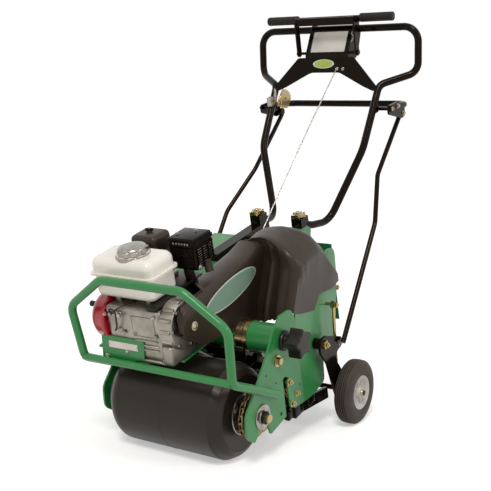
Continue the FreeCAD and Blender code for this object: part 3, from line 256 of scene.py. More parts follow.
# ---------------------------------------------------------------- studio
def studio():
    """White world, white floor that keeps the shadow, and two soft lamps."""
    world = bpy.data.worlds.new("White room")
    bpy.context.scene.world = world
    world.use_nodes = True
    tree = world.node_tree
    tree.nodes.clear()
    path = add(tree, "ShaderNodeLightPath")
    seen = add(tree, "ShaderNodeMath", {0: path.outputs["Is Camera Ray"], 1: path.outputs["Is Glossy Ray"]},
               operation="MAXIMUM")
    level = add(tree, "ShaderNodeMapRange", {"Value": seen.outputs[0], "To Min": 0.5, "To Max": 1.0})
    sky = add(tree, "ShaderNodeBackground", {"Color": linear("#FFFFFF"), "Strength": level.outputs[0]})
    add(tree, "ShaderNodeOutputWorld", {"Surface": sky.outputs[0]})
    for name, aim, power in (("Key", (-0.25, 0.55, -0.8), 1.5), ("Fill", (-0.8, -0.1, -0.45), 0.5)):
        lamp = bpy.data.objects.new(name, bpy.data.lights.new(name, "SUN"))
        lamp.data.energy = power
        lamp.data.angle = math.radians(16)
        lamp.rotation_euler = Vector(aim).to_track_quat("-Z", "Y").to_euler()
        bpy.context.scene.collection.objects.link(lamp)
    mesh = bmesh.new()
    bmesh.ops.create_grid(mesh, x_segments=1, y_segments=1, size=12)
    floor = finished(mesh, "floor", None)
    paint = bpy.data.materials.new("White floor paint")
    paint.use_nodes = True
    tree = paint.node_tree
    tree.nodes.clear()
    path = add(tree, "ShaderNodeLightPath")
    lift = add(tree, "ShaderNodeMath", {0: path.outputs["Is Camera Ray"], 1: path.outputs["Is Glossy Ray"]},
               operation="MAXIMUM")
    glow = add(tree, "ShaderNodeMath", {0: lift.outputs[0], 1: 0.42}, operation="MULTIPLY")
    matt = add(tree, "ShaderNodeBsdfDiffuse", {"Color": linear("#E4E2DF")})
    light = add(tree, "ShaderNodeEmission", {"Color": linear("#FFFFFF"), "Strength": glow.outputs[0]})
    both = add(tree, "ShaderNodeAddShader", {0: matt.outputs[0], 1: light.outputs[0]})
    add(tree, "ShaderNodeOutputMaterial", {"Surface": both.outputs[0]})
    floor.data.materials.append(paint)


# ---------------------------------------------------------------- finishes
def surface(name, colour, roughness, metallic=0.0, level=0.5, coat=0.0, tint=None, patch=40.0, grain=900.0,
            depth=0.00005, spread=0.08, bump=0.15, top_light_paint=None, sheen="#FFFFFF"):
    """A finish: its colour drifts to tint in patches, and its grain roughens and bumps it.

    A paler colour, speckled by the grain, is painted on what faces up as painted light from above; sheen tints the
    mirrored light.
    """
    material = bpy.data.materials.new(name)
    material.use_nodes = True
    tree = material.node_tree
    tree.nodes.clear()
    where = add(tree, "ShaderNodeTexCoord").outputs["Object"]
    drift = add(tree, "ShaderNodeTexNoise", {"Vector": where, "Scale": patch, "Detail": 4.0})
    spots = add(tree, "ShaderNodeMapRange", {"Value": drift.outputs["Fac"], "From Min": 0.35, "From Max": 0.65})
    mixed = add(tree, "ShaderNodeMix",
                {"Factor": spots.outputs[0], 6: linear(colour), 7: linear(tint or colour)},
                data_type="RGBA").outputs[2]
    fine = add(tree, "ShaderNodeTexNoise", {"Vector": where, "Scale": grain, "Detail": 2.0})
    # painted light from above: a paler colour, speckled by the grain, mixed onto faces that point up
    if top_light_paint:
        normal = add(tree, "ShaderNodeNewGeometry").outputs["Normal"]
        facing = add(tree, "ShaderNodeSeparateXYZ", {"Vector": normal})
        top_light_share = add(tree, "ShaderNodeMapRange",
                     {"Value": facing.outputs["Z"], "From Min": 0.2, "From Max": 1.0, "To Max": 0.22})
        cover = add(tree, "ShaderNodeMath", {0: top_light_share.outputs[0], 1: fine.outputs["Fac"]},
                    operation="MULTIPLY")
        mixed = add(tree, "ShaderNodeMix", {"Factor": cover.outputs[0], 6: mixed, 7: linear(top_light_paint)},
                    data_type="RGBA").outputs[2]
    rough = add(tree, "ShaderNodeMapRange",
                {"Value": fine.outputs["Fac"], "To Min": max(roughness - spread, 0.02),
                 "To Max": min(roughness + spread, 1.0)})
    lumps = add(tree, "ShaderNodeBump", {"Height": fine.outputs["Fac"], "Strength": bump, "Distance": depth})
    shader = add(tree, "ShaderNodeBsdfPrincipled", {
        "Base Color": mixed, "Roughness": rough.outputs[0], "Metallic": metallic, "IOR": 1.5,
        "Specular IOR Level": level, "Specular Tint": linear(sheen), "Coat Weight": coat, "Coat Roughness": 0.12,
        "Normal": lumps.outputs[0]})
    add(tree, "ShaderNodeOutputMaterial", {"Surface": shader.outputs[0]})
    return material


finish = {
    # powder coat: glossy, with slight orange peel about 2 mm across on the green
    "green_paint": surface("Green powder coat on sheet steel", "#2B7F3F", 0.30, level=0.4, coat=0.15, tint="#277A3C",
                           patch=9, grain=420, depth=0.0002, bump=0.10, top_light_paint="#7A8A6E"),
    "black_paint": surface("Black powder coat on steel tube", "#0A0705", 0.15, level=0.13, tint="#0E0A07", patch=12,
                           grain=420, depth=0.00002, spread=0.03, bump=0.02, sheen="#FFE2C8"),
    # vacuum-formed ABS: haircell grain under 1 mm, a painted warm grey light on what faces up
    "cover_plastic": surface("Black ABS, haircell grain", "#2B221B", 0.34, level=0.3, tint="#322820", patch=6,
                             grain=1400, depth=0.0002, spread=0.05, bump=0.10, top_light_paint="#5A5048", sheen="#FFF2E6"),
    "drum_plastic": surface("Black polyethylene, rotationally moulded", "#1A1511", 0.36, level=0.3, tint="#221C18",
                            patch=5, grain=700, depth=0.0003, bump=0.10, top_light_paint="#544B43", sheen="#FFF2E6"),
    # zinc with yellow chromate: iridescent patches over a bright metal
    "zinc": surface("Yellow chromate zinc plate", "#BFA063", 0.24, metallic=1.0, tint="#ADA084", patch=70, grain=1500,
                    depth=0.00002, bump=0.05),
    "steel": surface("Bright turned steel", "#A9A49B", 0.24, metallic=1.0, tint="#8F8A82", patch=60, grain=2000),
    "aluminium": surface("Die-cast aluminium", "#A39D93", 0.42, metallic=1.0, tint="#8E887E", patch=30, grain=600,
                         depth=0.0004, bump=0.35),
    "tank_white": surface("White enamel on pressed steel", "#EDE6DB", 0.18, level=0.45, coat=0.3, tint="#E8E1D5",
                          patch=8, grain=300, depth=0.0001, bump=0.05),
    "fan_red": surface("Red enamel on pressed steel", "#B00A22", 0.22, level=0.4, coat=0.25, tint="#A50A20", patch=8,
                       grain=300, depth=0.0001, bump=0.05),
    # semi-pneumatic rubber: matt, brown patches and a painted pale light on what faces up
    "tyre": surface("Moulded tyre rubber", "#332C27", 0.62, level=0.3, tint="#3E3630", patch=22, grain=900,
                    depth=0.0002, bump=0.2, top_light_paint="#776C62", sheen="#FFF2E6"),
    "rim": surface("Pale grey moulded polypropylene", "#B9B4AD", 0.40, tint="#A8A39B", patch=160, grain=700),
    "rubber": surface("Black nitrile rubber", "#14110F", 0.56, level=0.28, tint="#1A1714", patch=30, grain=900,
                      depth=0.0001, bump=0.15, sheen="#FFF2E6"),
    "black_plastic": surface("Black glass-filled nylon", "#12100D", 0.34, level=0.28, tint="#181411", patch=30,
                             grain=900, depth=0.0001, bump=0.1, sheen="#FFF2E6"),
    "cast": surface("Grey cast iron, oiled", "#3B3834", 0.46, metallic=1.0, tint="#2C2926", patch=40, grain=500,
                    depth=0.0004, bump=0.4),
    "chain_steel": surface("Oiled roller chain steel", "#B39A6B", 0.30, metallic=1.0, tint="#84704C", patch=90,
                           grain=1500),
}
# printed vinyl and bare plates: places for labels, left plain
badge_green = surface("Grey-green vinyl film", "#86A08C", 0.30, tint="#7E9A86", patch=12, grain=500, bump=0.03)
badge_rim = surface("Pale vinyl border", "#CFD8CB", 0.32, tint="#C7D1C3", patch=12, grain=500, bump=0.03)
badge_lime = surface("Yellow-green vinyl film", "#A9B64A", 0.30, tint="#9FB04C", patch=30, grain=500, bump=0.03)
plate_silver = surface("Brushed aluminium plate, lacquered", "#C9C3BA", 0.34, metallic=0.6, tint="#B9B3AA", patch=14,
                       grain=500, bump=0.05)
gasket = surface("Dark heat-stained steel", "#2B2723", 0.55, metallic=0.7, tint="#3A3029", patch=40, grain=800)

record_slots = {s["node"]: s["material_slot"] for s in frame["record"]["subparts"]}
for name, obj in nodes.items():
    obj.data.materials.clear()
    obj.data.materials.append(finish[record_slots[name]])


# ---------------------------------------------------------------- clutch cable
def clutch_cable():
    """Steel cable in a taut line from the console to the belt housing."""
    curve = bpy.data.curves.new("clutch_cable_cord", "CURVE")
    curve.dimensions = "3D"
    curve.bevel_depth, curve.bevel_resolution, curve.use_fill_caps = 0.002, 3, True
    spline = curve.splines.new("NURBS")
    points = [CHASSIS @ Vector(p) for p in CABLE]
    spline.points.add(len(points) - 1)
    for place, point in zip(spline.points, points):
        place.co = (*point, 1)
    spline.order_u = 3
    spline.use_endpoint_u = True
    cable = bpy.data.objects.new("clutch_cable_cord", curve)
    bpy.context.scene.collection.objects.link(cable)
    curve.materials.append(finish["steel"])
    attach(cable, "chassis")
    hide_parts("clutch_cable")


clutch_cable()


# ---------------------------------------------------------------- engine
def engine_block():
    """Die-cast crankcase, its ribbed side cover, the screws of both and the finned cylinder."""
    back, rise = CRANK
    deck = 185                                                               # top of the crankcase foot
    case = bmesh.new()
    brick(case, (-160, -102, 183), (31, 34, 336), 15, 4)
    brick(case, (-168, -104, 175), (37, 42, deck), 2.5, 2)
    for low in (214, 228, 242):                                              # cast ribs of the sump
        brick(case, (-62, -107, low), (18, -96, low + 5), 2, 2)
    brick(case, (-66, -106, 256), (14, -98, 318), 6, 3)
    brick(case, (-150, -60, 330), (-130, 20, 352), 3, 2)
    brick(case, (-40, -60, 330), (-20, 20, 352), 3, 2)
    rod(case, (-112, -98, 262), (0, -1, 0), 12, 8)
    dress(case, "crankcase", "aluminium", instead=("engine_block",), soften=1.2)

    cover = bmesh.new()
    lathe(cover, (31, back, rise), (1, 0, 0),
          [(-3, 0), (-3, 72), (34, 70), (40, 66), (42, 40), (44, 30), (46, 27), (46, 14), (40, 12), (40, 0)], 72)
    for i in range(9):                                                       # lumps round the side cover
        angle = math.radians(200 - 26 * i)
        tip = Vector((0, math.cos(angle), math.sin(angle)))
        rod(cover, Vector((34, back, rise)) + tip * 69, (1, 0, 0), 7, 34, 18, end=6)
    ring = [(back + 60 * math.cos(math.radians(20 + 360 / 7 * i)), rise + 60 * math.sin(math.radians(20 + 360 / 7 * i)))
            for i in range(7)]
    for spot in ring:
        rod(cover, (62, *spot), (1, 0, 0), 8, 8, 18, end=7)
    brick(cover, (28, -108, 176), (62, 44, 236), 8, 3)
    dress(cover, "crankcase_cover", "aluminium", soften=1.0)
    screws = bmesh.new()
    for spot in ring:
        bolt(screws, (69.6, *spot), (1, 0, 0), 10, 7, 0)
    for side, low in ((-156, 312), (18, 322), (18, 262), (-60, 262), (-96, 262), (-96, 204)):
        bolt(screws, (side, -106, low), (0, -1, 0), 9, 6, 0)
    for side, deep in ((-150, -96), (26, -96), (-150, 36), (26, 36)):
        bolt(screws, (side, deep, deck), (0, 0, 1), 13, 10, 5)
    dress(screws, "engine_screws", "steel")

    fins = bmesh.new()
    for k in range(9):
        brick(fins, (-142, 36 + 10.5 * k, 232), (-22, 39.5 + 10.5 * k, 336), 3, 2)
    brick(fins, (-122, 34, 252), (-42, 130, 316), 10, 3)
    brick(fins, (-136, 126, 242), (-28, 154, 328), 9, 3)
    for side in (-124, -40):
        for low in (254, 316):
            rod(fins, (side, 152, low), (0, 1, 0), 7, 6, 18)
    dress(fins, "finned_cylinder", "aluminium", instead=("cylinder_head",), soften=0.6)


def recoil_starter():
    """Red recoil housing with its slots, rope guide and grip."""
    back, rise = CRANK
    recoil = bmesh.new()
    dome = [(160, 0), (160, 76), (165, 78), (170, 77), (178, 74), (196, 72), (208, 68), (218, 60), (226, 48),
            (230, 30), (232, 18), (232, 0)]
    faces = lathe(recoil, (0, back, rise), (-1, 0, 0), dome, 72)
    slots = []
    for face in faces:
        centre = face.calc_center_median()
        away = math.hypot(centre.y - back, centre.z - rise)
        turn = math.degrees(math.atan2(centre.z - rise, centre.y - back)) % 40
        if 24 < away < 47 and turn < 22:
            slots.append(face)
    bmesh.ops.inset_individual(recoil, faces=slots, thickness=0.8, depth=-2.5)
    dress(recoil, "recoil_housing", "fan_red", instead=("fan_cover",), smooth=40)
    dark = bmesh.new()
    rod(dark, (-228, back, rise + 22), (-1, 0, 0), 14, 14, 24, end=10)
    dress(dark, "recoil_fittings", "black_plastic", soften=0.8)
    grip = bmesh.new()
    lathe(grip, (-271.3, back, rise + 22), (1, 0, 0), [(0, 0), (0, 6), (3, 9), (22, 8), (26, 6), (26, 0)], 24)
    dress(grip, "starter_handle", "black_plastic", "starter_grip", ("starter_grip",))


def governor():
    """Governor and throttle links, their plate and the black sheets over the cylinder."""
    levers = bmesh.new()
    wire(levers, [(-128, -112, 322), (-132, -116, 334), (-112, -118, 336), (-104, -118, 326), (-108, -116, 300),
                  (-112, -114, 276), (-122, -112, 268)], 2.6)
    wire(levers, [(-70, -60, 342), (-90, -108, 344), (-120, -110, 326)], 1.6)
    dress(levers, "governor_links", "black_plastic")
    controls = bmesh.new()
    brick(controls, (-134, -110, 312), (-92, -101, 326), 3, 2)
    brick(controls, (-146, -106, 320), (-84, -70, 324), 1.5, 2)
    rod(controls, (-96, -112, 318), (0, -1, 0), 6, 7, 20)
    rod(controls, (-128, -112, 318), (0, -1, 0), 5, 7, 20)
    dress(controls, "governor_plate", "steel", soften=0.6)
    shroud = bmesh.new()
    brick(shroud, (-160, 30, 338), (10, 152, 346), 3, 2)
    brick(shroud, (0, 36, 232), (6, 120, 344), 2, 2)
    brick(shroud, (-14, -98, 336), (28, 40, 350), 6, 3)
    dress(shroud, "engine_shroud", "black_plastic", soften=0.8)


def filler():
    """Lobed filler cap on its neck."""
    side, back = FILLER
    cap = bmesh.new()
    slab(cap, [(a + side, b + back) for a, b in star(9, 47, 40)], "top", 474.5, 13, 5, 3)
    lathe(cap, (side, back, 487.5), (0, 0, 1),
          [(-1, 0), (-1, 41), (2, 41), (5, 38), (6.5, 30), (7.5, 20), (7.5, 0)], 56)
    dress(cap, "filler_cap", "steel", "fuel_cap", ("fuel_cap",), soften=1.2)
    neck = bmesh.new()
    lathe(neck, (side, back, 463), (0, 0, 1),
          [(0, 0), (0, 52), (6, 52), (9, 48), (10, 41), (11.4, 40), (11.4, 0)], 56)
    dress(neck, "filler_neck", "steel")


def air_intake():
    """Air cleaner cover with its wing nut, over the carburettor."""
    nut_side, nut_back = -124, 107
    cleaner = bmesh.new()
    brick(cleaner, (-170, 64, 420), (-78, 150, 480), 16, 5)
    brick(cleaner, (-166, 68, 404), (-82, 146, 424), 6, 3)
    dress(cleaner, "cleaner_cover", "cover_plastic", instead=("air_cleaner",), soften=0.6)
    wing = bmesh.new()
    rod(wing, (nut_side, nut_back, 479), (0, 0, 1), 9, 6, 24, end=8)
    rod(wing, (nut_side, nut_back, 484), (0, 0, 1), 3.5, 6, 16)
    for turn in (25, 205):
        aim = Matrix.Rotation(math.radians(turn), 3, "Z") @ Vector((1, 0, 0))
        middle = Vector((nut_side, nut_back, 484)) + aim * 8
        brick(wing, middle - Vector((5, 2.5, 1)), middle + Vector((5, 2.5, 8)), 2, 2)
    dress(wing, "cleaner_wing_nut", "black_plastic", soften=0.5)
    intake = bmesh.new()
    brick(intake, (-146, 80, 344), (-102, 132, 406), 8, 3)
    lathe(intake, (-96, 106, 376), (1, 0, 0), [(0, 0), (0, 20), (28, 20), (34, 15), (34, 0)], 32)
    brick(intake, (-84, 84, 346), (-58, 128, 360), 3, 2)
    dress(intake, "carburettor", "aluminium", soften=0.8)


def exhaust():
    """Louvred muffler guard, its bright slits, the exhaust pipe and the bolts."""
    guard = bmesh.new()
    brick(guard, (-31, 64, 392), (63, 154, 482), 8, 4)
    brick(guard, (-31, 64, 470), (63, 154, 486), 6, 4)
    louvres(guard, (66, 70, 402), (0, 78, 0), (0, 0, 62), 3, 9, 0.74, 0.42, 2.6)
    louvres(guard, (66, 66, 468), (0, 86, 0), (0, 0, 12), 14, 1, 0.45, 0.9, 2.6)
    louvres(guard, (-22, 61, 410), (78, 0, 0), (0, 0, 50), 3, 7, 0.74, 0.42, 2.6)
    louvres(guard, (-12, 61, 467), (58, 0, 0), (0, 0, 10), 6, 1, 0.5, 0.9, 2.6)
    dress(guard, "muffler_guard", "black_paint", instead=("muffler",), soften=0.6)
    slits = bmesh.new()
    for k in range(8):
        rise = 404.6 + 6.9 * k
        for back in (74, 100, 126):
            brick(slits, (65.8, back, rise), (66.5, back + 16, rise + 1.6))
    for k in range(6):
        side = -8 + 9.7 * k
        brick(slits, (side, 60.6, 469), (side + 5, 61.2, 475.5))
    dress(slits, "muffler_slits", "steel")
    pipe = bmesh.new()
    wire(pipe, [(-4, 128, 300), (-4, 112, 340), (-4, 106, 380), (-4, 106, 420)], 15, 5)
    brick(pipe, (-26, 124, 286), (18, 138, 318), 4, 3)
    lathe(pipe, (64, 112, 400), (0.3, -0.2, -1), [(-10, 0), (-10, 12), (26, 12), (26, 9), (-6, 9), (-6, 0)], 24)
    dress(pipe, "exhaust_pipe", "black_paint", look=gasket, soften=0.6)
    studs = bmesh.new()
    for side, deep in ((-16, 97), (27, 131)):
        bolt(studs, (side, deep, 485.6), (0, 0, 1), 9, 7, 0)
    bolt(studs, (68.5, 70, 404), (1, 0, 0), 9, 7, 0)
    dress(studs, "muffler_bolts", "steel")


engine_block()
recoil_starter()
governor()
filler()
air_intake()
exhaust()


# ---------------------------------------------------------------- cover, plates and running gear
def between(table, at):
    """Value of a table of (place, value) pairs, joined by straight lines."""
    for (low, first), (high, last) in zip(table, table[1:]):
        if at <= high:
            return first + (last - first) * max(at - low, 0) / (high - low)
    return table[-1][1]


def bell(at, middle, width, power=2):
    """Bell curve, 1 at its middle; a higher power flattens its top."""
    return math.exp(-((at - middle) / width) ** power)


def belt_shell():
    """Moulded belt cover: a flat pan over the belts that swells into the rear hump.

    Cross-sections stand along the machine, each from the inboard edge over the top and down the
    outer side.  Those of the pan blend into those of the hump across its fluted front wall.
    """
    # back to rise: top and bottom of the pan, then of the hump
    crest = ((-88, 278), (-85, 304), (-81, 322), (-75, 337), (-66, 346), (-54, 351), (150, 352), (250, 362),
             (300, 376))
    under = ((-88, 266), (-81, 260), (-66, 249), (-26, 216), (-14, 207), (-4, 201), (12, 198), (104, 191),
             (180, 175), (260, 154), (300, 152))
    hump_crest = ((300, 396), (344, 402), (390, 402), (410, 399), (432, 391), (455, 376), (480, 351), (515, 305),
                  (545, 270))
    hump_under = ((312, 214), (330, 199), (356, 183), (386, 164), (396, 184), (404, 197), (432, 191), (480, 177),
                  (545, 177))
    # inboard edge, share of the front wall's slope, that slope by rise, and the wall's foot by its share
    mouth = ((-88, 84), (40, 84), (60, 52), (96, 16), (300, 14))
    lean = ((150, 0), (228, 0.5), (276, 0.95), (300, 1), (344, 1), (372, 0.72), (410, 0.3), (455, 0))
    wall = ((150, 260), (211, 282), (285, 324), (332, 347), (400, 347))
    foot = ((0, 152), (0.25, 163), (0.43, 178), (0.62, 192), (0.83, 209), (1, 214))
    # how far the wall comes forward as it runs outward
    forward = ((100, 0), (150, 26), (216, 66), (262, 70))
    # side and drop from the crest: shoulders of the pan and of the hump
    pan = ((14, 6), (26, 3), (40, 1), (54, 0), (66, 1), (76, 3), (85, 7), (92, 13), (97, 22), (99.4, 32), (100, 44))
    dome = ((14, 54), (30, 38), (50, 22), (69, 12), (100, 4), (135, 0), (170, 2), (203, 9), (229, 23), (249, 43),
            (261, 70))
    drops = (0.08, 0.16, 0.25, 0.34, 0.43, 0.52, 0.61, 0.7, 0.78, 0.86, 0.94, 1)
    ahead = (-88, -85, -81, -75, -66, -54, -40, -26, -14, -4, 12, 30, 40, 60, 78, 96, 120, 150, 180, 205, 228, 248,
             264, 276, 286, 294)
    behind = (316, 322, 330, 338, 347, 356, 366, 372, 379, 386, 391, 396, 400, 404, 410, 420, 432, 444, 455, 468,
              480, 492, 504, 515, 526, 536, 545)
    steps = [(s, 0) for s in ahead]
    steps += [(300 + 40 * max(w - 0.86, 0) + 100 * max(w - 0.94, 0), w) for w in (i / 36 for i in range(37))]
    steps += [(s, 1) for s in behind]
    mesh, rows = bmesh.new(), []
    for place, share in steps:
        top, high = between(crest, place), between(hump_crest, place)
        if share == 0:
            low = between(under, place)
        elif share < 1:
            low = between(foot, share)
        else:
            low = between(hump_under, place)
        side = 2 - max(place - 236, 0) * PLATE_BEND
        points = []
        for (x, drop), (wide, fall) in zip(pan, dome):
            squeeze = min(1, (top - low) / 96)
            points.append((max(between(mouth, place), x + (wide + side * wide / 261 - x) * share),
                           top - drop * squeeze + (high - fall - top + drop * squeeze) * share))
        x, z = points[-1]
        points += [(x, z + (low - z) * drop) for drop in drops]
        points += [(x - 4, low - 0.5), (max(x - 16, between(mouth, place)) if share == 0 else x - 5, low)]
        row = []
        for x, z in points:
            ripple = 0
            if 0 < share < 1:
                fade = min(max((392 - z) / 40, 0), 1)
                ripple = fade * (11 * bell(x, 146, 9) + 10 * bell(x, 200, 13))
            ahead_of = share and between(forward, x) * between(((312, 1), (404, 0)), place)
            back = place + between(lean, place) * (between(wall, z) - 300) - ripple - ahead_of
            if share == 1:                                                   # two short ribs on the side
                x += 6 * bell(z, 308, 24, 4) * (bell(back, 296, 8) + 0.8 * bell(back, 326, 7))
            row.append(mesh.verts.new((x, back, z)))
        rows.append(row)
    for first, second in zip(rows, rows[1:]):
        for i in range(len(first) - 1):
            mesh.faces.new((first[i], second[i], second[i + 1], first[i + 1]))
    bmesh.ops.remove_doubles(mesh, verts=mesh.verts, dist=0.05)
    bmesh.ops.dissolve_degenerate(mesh, edges=mesh.edges, dist=0.02)
    outward = max(mesh.faces, key=lambda face: face.calc_center_median().x)
    if outward.normal.x < 0:
        bmesh.ops.reverse_faces(mesh, faces=mesh.faces)
    shell = dress(mesh, "belt_shell", "cover_plastic", instead=("belt_cover",), smooth=50)
    wall_of = shell.modifiers.new("Moulded wall", "SOLIDIFY")
    wall_of.thickness, wall_of.offset = 0.003, -1


def cover_fittings():
    """Bare oval badge, screws and washers of the belt cover."""
    badge = bmesh.new()
    slab(badge, ellipse(157, 299, 135, 36, 4), "side", 100.1, 1.0)
    dress(badge, "cover_badge_border", "cover_plastic", look=badge_rim)
    badge = bmesh.new()
    slab(badge, ellipse(157, 299, 131, 32, 4), "side", 100.4, 1.2)
    dress(badge, "cover_badge", "cover_plastic", look=badge_green)
    washer = bmesh.new()
    lathe(washer, (100, -36.6, 277), (1, 0, 0), [(0, 0), (0, 13), (1.5, 13), (2, 12), (2, 0)], 32)
    dress(washer, "nose_washer", "rim")
    screw = bmesh.new()
    lathe(screw, (102, -36.6, 277), (1, 0, 0), [(0, 0), (0, 8), (3, 7), (4.5, 4), (4.5, 0)], 24)
    bolt(screw, (240, 523, 164), (1, 0, 0), 11, 9, 0)
    bolt(screw, (231, 232, 189), (0.4, -1, 0), 10, 8, 0)
    dress(screw, "cover_screws", "zinc")


def drum():
    """Mould line, the hub ring on the drum's left end, and the axle's ends, washers and nuts."""
    line = bmesh.new()
    lathe(line, (-6, 0, 0), (1, 0, 0), [(0, 138.6), (0.6, 139.5), (3.4, 139.5), (4, 138.6)], 128, closed=True)
    dress(line, "drum_mould_line", "drum_plastic", "drum")
    hub = bmesh.new()
    lathe(hub, (192, 0, 0), (1, 0, 0),
          [(0, 14), (0, 62), (4, 62), (5.5, 60), (5.5, 44), (3, 42), (3, 26), (9, 22), (9, 14)], 64, closed=True)
    for i in range(5):
        angle = 2 * math.pi * i / 5
        rod(hub, (196, 52 * math.cos(angle), 52 * math.sin(angle)), (1, 0, 0), 5.5, 6, 6)
    dress(hub, "drum_hub_ring", "steel", "drum")
    bore = 12.6
    for side, word in ((-1, "right"), (1, "left")):
        out = (side, 0, 0)
        shaft = bmesh.new()
        lathe(shaft, (side * 120, 0, 0), out, [(0, 0), (0, 12.5), (160, 12.5), (162, 11), (162, 0)], 32)
        dress(shaft, f"axle_end_{word}", "zinc", instead=("drum_axle",))
        washer = bmesh.new()
        lathe(washer, (side * PLATE, 0, 0), out, [(0, bore), (0, 37), (3, 37), (4, 36), (4, bore)], 56, closed=True)
        lathe(washer, (side * (PLATE + 4), 0, 0), out, [(0, bore), (0, 21), (2, 20.5), (2, bore)], 40, closed=True)
        dress(washer, f"axle_washer_{word}", "steel", instead=("drum_axle",))
        nut = bmesh.new()
        lathe(nut, (side * (PLATE + 6), 0, 0), out,
              [(0, bore), (0, 17), (1.5, 18.5), (9, 18.5), (11, 16), (11, bore)], 6, closed=True)
        dress(nut, f"axle_nut_{word}", "cast", instead=("drum_axle",))


def side_plate_fittings():
    """Straps, bolts and the ballast tube's end on each side plate."""
    for side, word in ((1, "left"), (-1, "right")):
        strap = bmesh.new()
        slab(strap, [(137, 42), (163, 42), (165, -53), (139, -53)], "side", side * (PLATE + 0.2), side * 5,
             12, 6)
        dress(strap, f"guard_strap_{word}", "green_paint", soften=0.8)
        bolts = bmesh.new()
        out = (side, 0, 0)
        for back, rise in ((150, 30), (152, -41)):
            bolt(bolts, (side * (PLATE + 5), back, rise), out, 15, 11, 5)
        bolt(bolts, (side * PLATE, 190, -29), out, 13, 10, 5)
        bolt(bolts, (side * (PLATE + 0.2), 109, 120), out, 17, 16, 6)
        dress(bolts, f"plate_bolts_{word}", "zinc")
        # black discs on the plate face: painted shade standing for the dark inside of its small holes
        holes = bmesh.new()
        for back, rise, wide in ((44.7, 106, 3.5), (88.7, 59.8, 3.5), (212.6, -11, 3.5)):
            lathe(holes, (side * PLATE, back, rise), out, [(0, 0), (0, wide), (0.3, wide), (0.3, 0)], 20)
        dress(holes, f"plate_hole_shade_{word}", "black_plastic")
    rings = bmesh.new()
    steps = [(0, 44), (0, 47.5), (14, 47.5), (17, 45), (17, 42), (27, 41), (30, 38), (30, 31), (40, 30), (43, 27),
             (43, 18), (52, 17), (54, 14), (54, 0), (40, 0), (40, 44)]
    lathe(rings, (158, *BALLAST), (-1, 0, 0), steps, 64, closed=True)
    dress(rings, "ballast_tube_cap", "zinc")
    tube = bmesh.new()
    lathe(tube, (150, *BALLAST), (1, 0, 0), [(0, 0), (0, 44), (100, 44), (100, 0)], 72)
    dress(tube, "ballast_tube", "green_paint", instead=("weight_tube",))
    plate = bmesh.new()
    slab(plate, [(-162, 207.5), (-57, 208.5), (-56, 229), (-160, 229)], "front", 107.1, 1.2, 2)
    dress(plate, "data_plate", "steel", look=plate_silver, soften=0.3)
    dots = bmesh.new()
    for across in (-157, -60):
        lathe(dots, (across, -108.3, 218.5), (0, -1, 0), [(0, 0), (0, 2.4), (1.2, 1.4), (1.2, 0)], 16)
    bolt(dots, (-176, -107, 176), (0, -1, 0), 12, 9, 0)
    bolt(dots, (-30, -80, 175), (0, 0, 1), 13, 10, 0)
    dress(dots, "shield_rivets", "steel")
    bracket = bmesh.new()
    for side in (160, -60):
        slab(bracket, [(86, 84), (150, 92), (148, 116), (122, 112), (104, 128), (80, 122)], "side", side, 4, 6)
    brick(bracket, (30, 84, 120), (160, 100, 150), 3, 2)
    dress(bracket, "deck_brackets", "black_paint", soften=0.8)


def knob_and_stars():
    """Large lobed knob beside the ballast tube and the two star knobs of the handle clamps."""
    knob = bmesh.new()
    lathe(knob, (PLATE + 0.4, *BALLAST), (1, 0, 0),
          [(0, 0), (0, 30), (9, 30), (11, 27), (12, 21), (30, 20), (30, 0)], 48)
    slab(knob, star(5, 49, 29, 0.3), along((0, *BALLAST), (1, 0, 0)), PLATE + 28, 42, 9, 5)
    dress(knob, "ballast_knob", "black_plastic", "clamp_knob", ("clamp_knob",), soften=4.0)
    for side, word in ((KNOB_SIDE, "left"), (-KNOB_SIDE, "right")):
        grip = bmesh.new()
        slab(grip, [(side + a, KNOB_BACK + b) for a, b in star(5, 28, 12, 0.3)], "top", 358, 12, 4, 4)
        lathe(grip, (side, KNOB_BACK, 356.4), (0, 0, 1),
              [(0, 0), (0, 11), (2, 11), (2, 9), (19, 8), (21, 6), (21, 0)], 28)
        dress(grip, f"star_grip_{word}", "zinc", f"star_knob_{word}", (f"star_knob_{word}",), soften=1.6)
        stud = bmesh.new()
        rod(stud, (side + 4, 636, 352), (0, 0, 1), 4, 12, 20)
        dress(stud, f"clamp_studs_{word}", "zinc")


